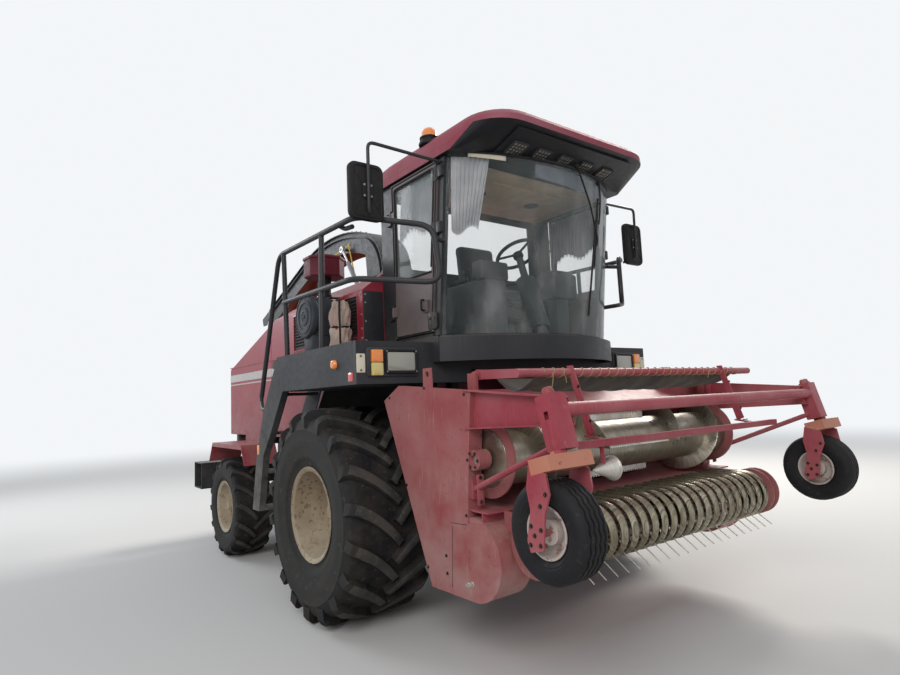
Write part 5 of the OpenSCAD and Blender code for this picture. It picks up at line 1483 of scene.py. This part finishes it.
# a tine's coil: its radius at places across it
coilLine = ((0.017, -0.019), (0.024, -0.017), (0.026, -0.013), (0.024, -0.009), (0.026, -0.005),
    (0.024, -0.001), (0.026, 0.003), (0.024, 0.007), (0.026, 0.011), (0.024, 0.016), (0.017, 0.019))


def bandMesh():
    # one band about its own middle: the line round the pick-up, and a crowned section across
    line = [(pickup["back"] - pickup["x"], pickup["band"], 0.0, 1.0), (-0.12, pickup["band"], 0.0, 1.0)]
    for i in range(29):
        a = math.radians(90 - 180 * i / 28)
        line.append((pickup["band"] * math.cos(a), pickup["band"] * math.sin(a), math.cos(a), math.sin(a)))
    line.append((pickup["under"][0] - pickup["x"], pickup["under"][1] - pickup["z"], 0.0, -1.0))
    across = [k / 4 - 1 for k in range(9)]
    section = [(f, -pickup["crown"] * f * f) for f in across]
    section += [(f, out - pickup["thick"]) for f, out in reversed(section)]
    half = pickup["wide"] / 2
    bm = bmesh.new()
    joinRings(bm, [[bm.verts.new((x + nx * out, f * half, z + nz * out)) for f, out in section] for x, z, nx,
        nz in line])
    return asMesh(bm, "band")


def tinePath(base, fold):
    # straight out with a slight bend, or folded back under the bands
    if fold:
        slope = math.radians(90 + fold)
        way = Vector((math.sin(slope), 0, math.cos(slope)))
        return [base, base + way * 0.07, base + way * 0.145]
    reach = pickup["tip"] - pickup["bar"] - 0.002
    return [base + Vector(step) for step in ((0, 0, -0.024), (reach * 0.35, 0, -0.016), (reach, 0, 0.004))]


def pickupPieces():
    centre = at(pickup["x"], 0, pickup["z"])
    half, pitch = pickup["width"] / 2, pickup["width"] / pickup["count"]
    bm = bmesh.new()
    middles = [centre + Vector((0, (i + 0.5) * pitch - half, 0)) for i in range(pickup["count"])]
    stampAt(bm, bandMesh(), *middles)
    keepPiece("pickup_rings", bm, "bandSteel", "header", ("pickup_bands",), 40)
    tines, coils, bars = [], bmesh.new(), bmesh.new()
    coil = asMesh(spun(coilLine, 14, "Y"))
    rodBetween(bars, centre - Vector((0, pickup["axleHalf"], 0)), centre + Vector((0, pickup["axleHalf"], 0)),
        pickup["axle"], 24)
    barEnd = Vector((0, pickup["barHalf"], 0))
    for angle, fold in pickup["rows"]:
        turn = Matrix.Rotation(math.radians(angle), 3, "Y")
        for i in range(1, pickup["count"]):
            base = Vector((pickup["bar"], i * pitch - half, 0))
            tines.append([centre + turn @ p for p in tinePath(base, fold)])
            if not fold:
                stamp(coils, coil, Matrix.Translation(centre) @ turn.to_4x4() @ Matrix.Translation(base))
        spot = centre + turn @ Vector((pickup["bar"], 0, 0))
        rodBetween(bars, spot - barEnd, spot + barEnd, pickup["barRadius"], 14)
    tubes("pickup_tines", tines, pickup["tine"], "tineSteel", "pickup_reel", ("pickup_reel",),
        1)
    keepPiece("tine_coils", coils, "tineSteel", "pickup_reel", smooth=60)
    plate = asMesh(spun([(0.026, -0.005), (0.124, -0.005), (0.125, -0.004), (0.125, 0.004), (0.124, 0.005),
        (0.026, 0.005)], 40, "Y"))
    stampAt(bars, plate, centre - barEnd, centre, centre + barEnd)
    keepPiece("pickup_bars", bars, "darkSteel", "pickup_reel", smooth=40)


pickupPieces()
print("header trim, auger and pick-up made")

# the wind guard's cloth with its twine

guard = dict(barX=1.95, barZ=1.75, backX=1.5805, half=1.1, bar=0.0253, sag=0.105, lowBar=1.3605, twine=0.0026,
    turns=26, looseEnds=((0.86, 0.075, 0.02), (0.64, 0.05, -0.015), (-0.93, 0.06, 0.02),
    (-1.02, 0.09, -0.02)))


def guardPoint(u, v):
    # u along the bar, v from the front bar to the back one
    front, back = guard["barX"] - guard["bar"] - 0.004, guard["backX"]
    belly = guard["sag"] * 4 * v * (1 - v) * (0.82 + 0.18 * math.sin(math.pi * u))
    ripple = 0.006 * math.sin(26 * u + 3 * v) * (1 - v) + 0.004 * math.sin(61 * u + 8 * v)
    edge = 0.008 * math.cos(24 * math.tau * u) * max(0.0, 0.1 - v) / 0.1
    height = guard["barZ"] - 0.006 - 0.01 * v - belly + ripple * 4 * v * (1.02 - v) - edge
    return at(front + (back - front) * v, guard["half"] * (2 * u - 1), height)


def guardCloth():
    cloth = gridPiece("wind_cloth_sheet", 150, 26, guardPoint, "guardCloth", "wind_guard",
        ("wind_cloth",))
    declareSheet(cloth)
    x, z, turns = guard["barX"], guard["barZ"], guard["turns"]
    count, r = turns * 10, guard["bar"] + 0.0035
    lacing = []
    for i in range(count + 1):
        t = i / count
        a = math.tau * turns * t
        lacing.append(at(x + r * math.cos(a) - 0.002, -1.09 + 2.18 * t, z + r * math.sin(a)))
    tubes("guard_twine", [lacing], guard["twine"], "twineCloth", "wind_guard", segments=2)
    loose = [roundedPath([at(x + 0.028, y, z), at(x + 0.036, y + lean * 0.4, z - length * 0.5),
        at(x + 0.03, y + lean, z - length)], 0.02) for y, length, lean in guard["looseEnds"]]
    tubes("guard_twine_ends", loose, 0.0022, "twineCloth", "wind_guard", segments=2)
    bolts = []
    for side in (1, -1):
        bolts += [(at(x, 0.8525 * side, z), (0, side, 0)) for x, z in ((2.017, 1.665), (2.087, 1.465))]
        bolts += [(at(2.12, y * side, 1.3785), (0, 0, 1)) for y in (0.826, 0.864)]
    boltsAt("guard_bolts", bolts, 0.007, "wind_guard", "boltSteel")


guardCloth()


def swathCone():
    # a steel cone on a flat hanger under the guard's lower bar
    bm = spun([(0.0, -0.08), (0.009, -0.078), (0.061, 0.066), (0.068, 0.07), (0.07, 0.077), (0.066, 0.08),
        (0.058, 0.075), (0.0, 0.044)], 40, "Y")
    shift(bm, at(2.192, -0.896, 1.204))
    keepPiece("swath_cone", bm, "zincSteel", "wind_guard", smooth=40)
    hanger = bmesh.new()
    slab(hanger, at(2.182, -0.904, 1.2), at(2.211, -0.897, guard["lowBar"]), 0.002)
    keepPiece("cone_hanger", hanger, "headerPaint", "wind_guard")


swathCone()

# castors and gauge wheels

gauge = dict(x=2.35, y=1.45, z=0.99, steps=72, grooves=(-0.048, -0.016, 0.016, 0.048),
    zigzags=24, zigzag=0.0042, nuts=5, nutCircle=0.078, fork=0.1502, forkBolts=((2.35, 0.99), (2.322, 0.945),
    (2.385, 0.95), (2.33, 1.03), (2.392, 1.02), (2.395, 1.125), (2.43, 1.18)))


def gaugeTyre(side, sideName):
    wheel = "gauge_wheel_" + sideName
    place = at(gauge["x"], gauge["y"] * side, gauge["z"])
    wall = [(0.1185, 0.06), (0.122, 0.066), (0.13, 0.07), (0.15, 0.086), (0.158, 0.0865), (0.162, 0.09),
        (0.185, 0.0945), (0.205, 0.0925), (0.222, 0.086), (0.232, 0.076)]
    tread = [(0.2365, 0.068), (0.238, 0.0655)]
    for y in reversed(gauge["grooves"]):
        tread += [(0.2392, y + 0.006), (0.23, y + 0.004), (0.23, y - 0.004), (0.2392, y - 0.006)]
    otherSide = [(r, -y) for r, y in reversed(wall + tread[:2])]
    bm = spun(wall + tread + otherSide, gauge["steps"] * 2, "Y")
    for v in bm.verts:
        if math.hypot(v.co.x, v.co.z) > 0.2295 and abs(v.co.y) < 0.062:
            phase = (math.atan2(v.co.z, v.co.x) / math.tau * gauge["zigzags"]) % 1.0
            v.co.y += gauge["zigzag"] * (abs(phase - 0.5) * 4 - 1)
    shift(bm, place)
    keepPiece("gauge_tyre_" + sideName, bm, "gaugeRubber", wheel, (wheel,), 30)
    dish = [(0.117, -0.072), (0.124, -0.071), (0.126, -0.074), (0.124, -0.077), (0.115, -0.076),
        (0.11, -0.066), (0.108, -0.045), (0.104, -0.03), (0.096, -0.018), (0.062, -0.016), (0.06, -0.02),
        (0.058, -0.058), (0.05, -0.06), (0.0165, -0.06), (0.0165, 0.06), (0.05, 0.06), (0.058, 0.058),
        (0.06, -0.004), (0.062, -0.008), (0.098, -0.01), (0.106, -0.022), (0.11, 0.04), (0.112, 0.066),
        (0.116, 0.076), (0.124, 0.077), (0.126, 0.074), (0.124, 0.071), (0.117, 0.072), (0.1165, 0.06),
        (0.1165, -0.06), (0.117, -0.072)]
    bm = spun(dish, 56, "Y")
    nut = boltMesh(0.007)
    for i in range(gauge["nuts"]):
        turn = Matrix.Rotation(math.tau * i / gauge["nuts"], 4, "Y")
        for y, way in ((-0.0175, -1), (-0.0085, 1)):
            stamp(bm, nut, turn @ facing(Vector((gauge["nutCircle"], y, 0)), (0, way, 0)))
    shift(bm, place)
    keepPiece("gauge_rim_" + sideName, bm, "gaugeRimPaint", wheel, smooth=40)
    # bolts on the fork's plates and the axle's nut
    bolts = [(at(x, place.y + way * gauge["fork"], z), (0, way, 0)) for way in (-1, 1) for x,
        z in gauge["forkBolts"]]
    boltsAt("castor_bolts_" + sideName, bolts, 0.008, "castor_" + sideName, "boltSteel")


def castorCrown(side, sideName):
    # the crown block is a paler orange red than the fork
    y = gauge["y"] * side
    low, high = at(2.315, y - 0.155, 1.255), at(2.48, y + 0.155, 1.352)
    piece = refined["castor_" + sideName]
    piece.data.materials.append(finishes["salmonPaint"])
    for face in piece.data.polygons:
        c = face.center
        inside = all(low[i] < c[i] < high[i] for i in range(3))
        if inside and abs(abs(c.y) - gauge["y"]) < 0.1505:
            face.material_index = 1


for sideName, side in (("left", 1), ("right", -1)):
    gaugeTyre(side, sideName)
    castorCrown(side, sideName)


def armCaps():
    # round caps where the castor arms' heads end, and a collar under each
    lean = math.radians(14.5)
    up = Vector((-math.sin(lean), 0, math.cos(lean)))
    cap = asMesh(spun([(0, 0.028), (0.018, 0.027), (0.027, 0.02), (0.03, 0.01), (0.031, 0.0), (0.038, -0.002),
        (0.038, -0.01), (0.0, -0.012)], 32))
    bm = bmesh.new()
    for side in (1, -1):
        top = at(2.388, (gauge["y"] - 0.03) * side, 1.34) + up * 0.303
        stamp(bm, cap, facing(top, up))
    keepPiece("arm_caps", bm, "sidePaint", "header")


armCaps()
print("wind guard and gauge wheels made")

# cab: seat, ceiling, wheel, curtains, doors and wipers

cab = dict(front=0.8, bulge=0.35, half=0.95, foot=2.1, lean=6.5)
cab["radius"] = (cab["half"] ** 2 + cab["bulge"] ** 2) / (2 * cab["bulge"])


def onScreen(phi, height, offset=0.0):
    # a point of the bowed windscreen, height up the lean, offset outside it
    lean, radius = math.radians(cab["lean"]), cab["radius"]
    ahead = cab["bulge"] - radius + (radius + offset) * math.cos(phi)
    return at(cab["front"] + ahead * math.cos(lean) + height * math.sin(lean),
        (radius + offset) * math.sin(phi), cab["foot"] - ahead * math.sin(lean) + height * math.cos(lean))


def cabPiece(name, bm, finishName="cabPlastic", replaced=(), smooth=35):
    return keepPiece(name, bm, finishName, "chassis", replaced, smooth)


def softBlock(name, low, high, corner, crown, replaced=()):
    # a cushion: a rounded block whose faces swell and whose sides pull in between the corners
    bm = bmesh.new()
    bmesh.ops.create_cube(bm, size=1)
    bmesh.ops.subdivide_edges(bm, edges=bm.edges, cuts=9, use_grid_fill=True)
    low, high = Vector(low), Vector(high)
    centre, half = (low + high) / 2, (high - low) / 2
    inner = [size - corner for size in half]
    for v in bm.verts:
        f = [max(-1.0, min(1.0, c * 2)) for c in v.co]
        core = Vector(max(-inner[i], min(inner[i], f[i] * half[i])) for i in range(3))
        out = Vector(f[i] * half[i] for i in range(3)) - core
        place = core + (out.normalized() * corner if out.length > 1e-6 else out)
        for i in range(3):
            if abs(f[i]) > 0.99:
                swell = math.prod(1 - f[k] ** 2 for k in range(3) if k != i)
                place[i] += crown[i] * swell * math.copysign(1, f[i])
        v.co = centre + place
    return keepPiece(name, bm, "seatCloth", "chassis", replaced, 60)


def keepResult(piece):
    # what the modifiers give becomes the piece's own mesh
    graph = bpy.context.evaluated_depsgraph_get()
    result = bpy.data.meshes.new_from_object(piece.evaluated_get(graph))
    piece.modifiers.clear()
    piece.data = result
    result.shade_smooth()


def inflate(piece, voxel, pressure, cap):
    # cloth under slight pressure, its result kept in the mesh; no point moves further than cap
    remesh = piece.modifiers.new("remesh", "REMESH")
    remesh.mode = "VOXEL"
    remesh.voxel_size = voxel
    keepResult(piece)
    before = [v.co.copy() for v in piece.data.vertices]
    cloth = piece.modifiers.new("cloth", "CLOTH")
    cloth.settings.use_pressure = True
    cloth.settings.uniform_pressure_force = pressure
    cloth.settings.effector_weights.gravity = 0
    cloth.settings.quality = 4
    scene = bpy.context.scene
    for frameNumber in range(1, 21):
        scene.frame_set(frameNumber)
    keepResult(piece)
    scene.frame_set(1)
    for v, start in zip(piece.data.vertices, before):
        move = v.co - start
        if move.length > cap:
            v.co = start + move.normalized() * cap


seatLook = dict(low=(0.132, -0.228, 2.458), high=(0.578, 0.228, 2.56),
    inset=0.008, backPlace=(0.1365, 0, 2.772), backHalf=(0.045, 0.212, 0.262), backLean=-5.5, channelY=0.105,
    channelWidth=0.014, channelDepth=0.006, bellows=(2.392, 2.408, 2.424, 2.44))


def sewChannels(piece, isBack):
    # lines where the cover is drawn in
    width = seatLook["channelWidth"]
    for v in piece.data.vertices:
        away = abs(abs(v.co.y) - seatLook["channelY"])
        depth = seatLook["channelDepth"] * max(0.0, 1 - away / width)
        if isBack and v.normal.x > 0.3:
            v.co.x -= depth
        if not isBack and v.co.z > 2.52:
            v.co.z -= depth


def seatPieces():
    inset = Vector((1, 1, 1)) * seatLook["inset"]
    backHalf = Vector(seatLook["backHalf"])
    cushion = softBlock("seat_cushion", at(*seatLook["low"]) + inset, at(*seatLook["high"]) - inset, 0.03,
        (0.004, 0.004, 0.01), ("seat",))
    back = softBlock("seat_back", -backHalf, backHalf, 0.032, (0.008, 0.004, 0.004))
    back.data.transform(leaned(at(*seatLook["backPlace"]), seatLook["backLean"]))
    for piece in (cushion, back):
        inflate(piece, 0.008, 4.0, 0.01)
        sewChannels(piece, piece is back)
    pedestal = bmesh.new()
    slab(pedestal, at(0.202, -0.148, 2.382), at(0.458, 0.148, 2.458), 0.012)
    slab(pedestal, at(0.1, -0.2, 2.44), at(0.54, 0.2, 2.461), 0.006)
    for z in seatLook["bellows"]:
        slab(pedestal, at(0.192, -0.158, z - 0.005), at(0.468, 0.158, z + 0.005), 0.004)
    cabPiece("seat_pedestal", pedestal)
    rests = bmesh.new()
    for side in (1, -1):
        sideSlab(rests, side, (0.13, 0.4), (0.232, 0.285), (2.655, 2.69), 0.014)
        sideSlab(rests, side, (0.125, 0.165), (0.222, 0.24), (2.6, 2.68), 0.006)
    cabPiece("seat_armrests", rests)


def ceiling():
    # the panel under the roof with its two round speakers
    bm = bmesh.new()
    slab(bm, at(0.09, -0.86, 3.398), at(0.98, 0.86, 3.418), 0.008)
    slab(bm, at(0.3, -0.52, 3.372), at(0.82, 0.5, 3.402), 0.014)
    cabPiece("cab_ceiling", bm, "ceilingPlastic")
    speaker = asMesh(spun([(0, 0.006), (0.03, 0.006), (0.034, 0.0), (0.062, 0.0), (0.07, 0.004),
        (0.075, 0.01), (0, 0.012)], 36))
    both = bmesh.new()
    stampAt(both, speaker, at(0.56, -0.3, 3.366), at(0.56, 0.34, 3.366))
    cabPiece("ceiling_speakers", both)


steering = dict(place=(0.695, 0, 2.845), lean=-28, radius=0.184, grip=0.0155, spokes=3,
    columnFoot=(0.94, 0, 2.106), columnTop=(0.709, 0, 2.825), columnNarrow=0.86)


def steeringWheel():
    grip = [(steering["radius"] + steering["grip"] * math.cos(math.tau * i / 12),
        steering["grip"] * math.sin(math.tau * i / 12)) for i in range(13)]
    wheel = spun(grip, 64)
    spoke = bmesh.new()
    slab(spoke, (0.035, -0.013, -0.006), (0.176, 0.013, 0.004), 0.003)
    spokeMesh = asMesh(spoke)
    for k in range(steering["spokes"]):
        stamp(wheel, spokeMesh, Matrix.Rotation(math.tau * k / steering["spokes"], 4, "Z"))
    hub = asMesh(spun([(0, -0.038), (0.04, -0.038), (0.045, -0.032), (0.045, 0.0), (0.04, 0.008), (0, 0.01)],
        32))
    stampAt(wheel, hub, (0, 0, 0))
    bmesh.ops.transform(wheel, matrix=leaned(at(*steering["place"]), steering["lean"]), verts=wheel.verts)
    cabPiece("steering_wheel", wheel, "trimRubber", smooth=50)
    column = spun([(0.058, 0.0), (0.06, 0.015), (0.046, 0.1), (0.04, 0.3), (0.034, 0.6), (0.033, 0.72),
        (0.028, 0.735)], 28)
    for v in column.verts:
        v.co.y *= steering["columnNarrow"]
    foot, top = at(*steering["columnFoot"]), at(*steering["columnTop"])
    bmesh.ops.transform(column, matrix=facing(foot, top - foot), verts=column.verts)
    cabPiece("steering_column", column, smooth=50)


# place of each lever on the console, and its size
leverTable = ((0.46, -0.4, 1.0), (0.6, -0.47, 0.7), (0.67, -0.38, 0.6))


def controls():
    console = bmesh.new()
    slab(console, at(0.352, -0.558, 2.102), at(0.898, -0.332, 2.558), 0.03)
    slab(console, at(0.782, -0.598, 2.545), at(0.898, -0.302, 2.698), 0.022)
    for i in range(4):
        y = -0.575 + i * 0.066
        slab(console, at(0.762, y, 2.585), at(0.784, y + 0.045, 2.625), 0.005)
    cabPiece("cab_console", console, replaced=("cab_controls",), smooth=40)
    dash = bmesh.new()
    slab(dash, at(0.765, 0.13, 2.43), at(0.985, 0.42, 2.65), 0.028)
    slab(dash, at(0.785, 0.155, 2.635), at(0.96, 0.395, 2.675), 0.016)
    slab(dash, at(0.82, 0.2, 2.106), at(0.93, 0.35, 2.445), 0.014)
    housing = bmesh.new()
    slab(housing, (-0.055, -0.075, -0.3), (0.055, 0.075, 0.17), 0.022)
    stamp(dash, asMesh(housing), leaned(at(0.8245, 0, 2.4655), -17.8))
    cabPiece("cab_dash", dash, smooth=40)
    stick = asMesh(spun([(0, 0.0), (0.03, 0.0), (0.032, 0.01), (0.024, 0.018), (0.026, 0.026), (0.018, 0.034),
        (0.02, 0.042), (0.007, 0.055), (0.006, 0.1), (0.014, 0.106), (0.02, 0.125), (0.019, 0.155),
        (0.01, 0.168), (0, 0.169)], 20))
    levers = bmesh.new()
    for x, y, size in leverTable:
        stamp(levers, stick, Matrix.Translation(at(x, y, 2.556)) @ Matrix.Scale(size, 4))
    cabPiece("cab_levers", levers, "trimRubber", smooth=50)


seatPieces()
ceiling()
steeringWheel()
controls()


def hangingCurtain(name, body, place, folds, depth, finishName, fringe):
    # place(u, v) is the flat curtain; the folds come on top of it, deeper lower down
    def acrossAt(u, v):
        return (place(min(u + 0.01, 1), v) - place(max(u - 0.01, 0), v)).normalized()

    def folded(u, v):
        out = acrossAt(u, v).cross(Vector((0, 0, 1)))
        wave = math.sin(math.tau * folds * u + 0.8 * math.sin(3 * v + 5 * u))
        return place(u, v) + out * depth * (0.45 + 0.55 * v) * wave

    sheet = gridPiece(name, folds * 10, 16, folded, finishName, body)
    if fringe:
        threads = bmesh.new()
        count = folds * 12
        for i in range(count):
            u = (i + 0.5) / count
            top, side = folded(u, 1.0), acrossAt(u, 1.0) * 0.0016
            drop = Vector((0, 0, -fringe * (0.85 + 0.15 * math.sin(i * 2.3))))
            corners = (top - side, top + side, top + side * 0.5 + drop, top - side * 0.5 + drop)
            threads.faces.new([threads.verts.new(p) for p in corners])
        keepPiece(name + "_fringe", threads, finishName, body)
    declareSheet(sheet)


def curtains():
    for side, sideName in ((-1, "right"), (1, "left")):
        def frontPlace(u, v, side=side):
            # from the front post inwards along the windscreen, longer at the post
            phi = -0.672 + 0.205 * u * (1 - 0.3 * v) + 0.012 * v
            fall = 0.535 - 0.02 * u + 0.03 * math.sin(math.tau * u)
            p = onScreen(phi, 1.345 - fall * v, -0.035)
            return Vector((p.x, -p.y * side, p.z))

        def doorPlace(u, v, side=side):
            low = 0.4 + 0.035 * math.cos(math.tau * u * 1.5)
            return at(0.262 + 0.545 * u + 0.045 * (1 - v), 0.921 * side, 3.372 - low * v)

        hangingCurtain("screen_curtain_" + sideName, "chassis", frontPlace, 9, 0.011, "curtainCloth",
            0.035)
        hangingCurtain("door_curtain_" + sideName, "door_" + sideName, doorPlace, 12, 0.008,
            "filmCloth", 0.03)

    def valancePlace(u, v):
        # a short cloth with a toothed lower edge
        tooth = 0.01 * abs(((u * 34) % 1.0) - 0.5) * 2
        return onScreen(-0.2 + 0.62 * u, 1.35 - (0.1 + 0.05 * u + tooth) * v, -0.03)

    hangingCurtain("screen_valance", "chassis", valancePlace, 6, 0.002, "valanceCloth",
        0.0)


curtains()

# (angle, height) on the windscreen of each wiper's mount, its middle and its blade's lower end
wiperTable = (((0.075, 1.398), (0.322, 0.86), (0.25, 0.2)), ((0.33, 1.335), (0.345, 1.05), (0.312, 0.62)))
wiperLook = dict(arm=0.0075, blade=0.0085, rubber=0.011, bladeRise=0.16)


def wipers():
    arms, blades, mounts = [], [], bmesh.new()
    mount = asMesh(spun([(0, 0.0), (0.02, 0.0), (0.022, 0.006), (0.018, 0.022), (0.01, 0.026), (0, 0.026)],
        20))
    for (topPhi, topHeight), (phi, height), (lowPhi, lowHeight) in wiperTable:
        arms.append(roundedPath([onScreen(topPhi, topHeight, 0.02),
            onScreen((topPhi + phi) / 2, (topHeight + height) / 2, 0.03), onScreen(phi, height, 0.022),
            onScreen(phi, height - 0.06, 0.016)], 0.05))
        bladeTop = height + wiperLook["bladeRise"]
        blades.append([onScreen(phi + (lowPhi - phi) * t - 0.01, bladeTop + (lowHeight - bladeTop) * t, 0.009)
            for t in (0, 0.25, 0.5, 0.75, 1)])
        out = onScreen(topPhi, topHeight, 0.1) - onScreen(topPhi, topHeight)
        stamp(mounts, mount, facing(onScreen(topPhi, topHeight, 0.002), out))
    rubbers = [[onScreen(-0.69 + 1.38 * i / 40, height, 0.002) for i in range(41)]
        for height in (-0.03, 1.372)]
    for name, paths, part in (("wiper_arms", arms, "arm"), ("wiper_blades", blades, "blade"),
            ("screen_rubbers", rubbers, "rubber")):
        tubes(name, paths, wiperLook[part], "trimRubber")
    keepPiece("wiper_mounts", mounts, "trimRubber")

    def stripPlace(u, v):
        return onScreen(-0.585 + 0.2 * u, 1.372 - 0.035 * v - 0.012 * u, 0.004)

    topStrip = gridPiece("screen_top_strip", 12, 2, stripPlace, "creamPaint", "chassis")
    topStrip.modifiers.new("thick", "SOLIDIFY").thickness = 0.002


wipers()

doorLook = dict(face=0.9625, windowLow=2.592, windowHigh=3.378, windowRear=0.259, windowFront=0.045,
    post=0.066, handleX=0.655, handleZ=(2.305, 2.385), lockX=(0.712, 0.765), clampZ=(2.905, 3.325))


def closedTube(name, corners, bend, radius, body):
    # a rubber that runs all the way round, its corners rounded
    loop = roundedPath(corners + corners[:2], bend)
    tubes(name, [loop[6:]], radius, "trimRubber", body)


def doorTrim(side, sideName):
    body = "door_" + sideName
    y = doorLook["face"] * side
    lean = math.radians(cab["lean"])

    def postAt(z):
        return cab["front"] + (z - cab["foot"]) * math.tan(lean)

    def edge(z):
        # the window's front edge
        return postAt(z) - doorLook["post"] / math.cos(lean) - doorLook["windowFront"]

    low, high, rear = doorLook["windowLow"], doorLook["windowHigh"], doorLook["windowRear"]
    window = [at(rear, y, low), at(edge(low), y, low), at(edge(high), y, high), at(rear, y, high)]
    closedTube("window_rubber_" + sideName, window, 0.035, 0.0085, body)
    sealY, bottom, top = 0.9645 * side, 2.142, 3.41
    seal = [at(0.226, sealY, bottom), at(edge(bottom) + 0.032, sealY, bottom),
        at(edge(top) + 0.032, sealY, top), at(0.226, sealY, top)]
    closedTube("door_seal_" + sideName, seal, 0.02, 0.005, body)
    lock = bmesh.new()
    roundedPlate(lock, at(0.738, 0.9622 * side, 2.215), outwards[side], 0.118, 0.128, 0.006, 0.018, 0.002)
    keepPiece("lock_plate_" + sideName, lock, "cabFramePaint", body, smooth=40)
    bolts = [(at(x, 0.968 * side, 2.235), (0, side, 0)) for x in doorLook["lockX"]]
    boltsAt("lock_bolts_" + sideName, bolts, 0.009, body, "boltSteel")
    x, (z0, z1) = doorLook["handleX"], doorLook["handleZ"]
    handle = [at(x, out * side, z) for out, z in ((0.977, z0), (1.004, z0), (1.004, z1), (0.977, z1))]
    tubes("door_handle_" + sideName, [roundedPath(handle, 0.02)], 0.008, "trimRubber", body)
    clamps = bmesh.new()
    for z in doorLook["clampZ"]:
        x = postAt(z)
        roundedPlate(clamps, at(x - 0.018, 0.9505 * side, z), outwards[side], 0.052, 0.085, 0.026, 0.01,
            0.004)
        roundedPlate(clamps, at(x - 0.095, y, z), outwards[side], 0.085, 0.11, 0.006, 0.03, 0.002)
    keepPiece("post_clamps_" + sideName, clamps, "cabFramePaint", smooth=40)


for sideName, side in (("left", 1), ("right", -1)):
    doorTrim(side, sideName)
print("cab made")
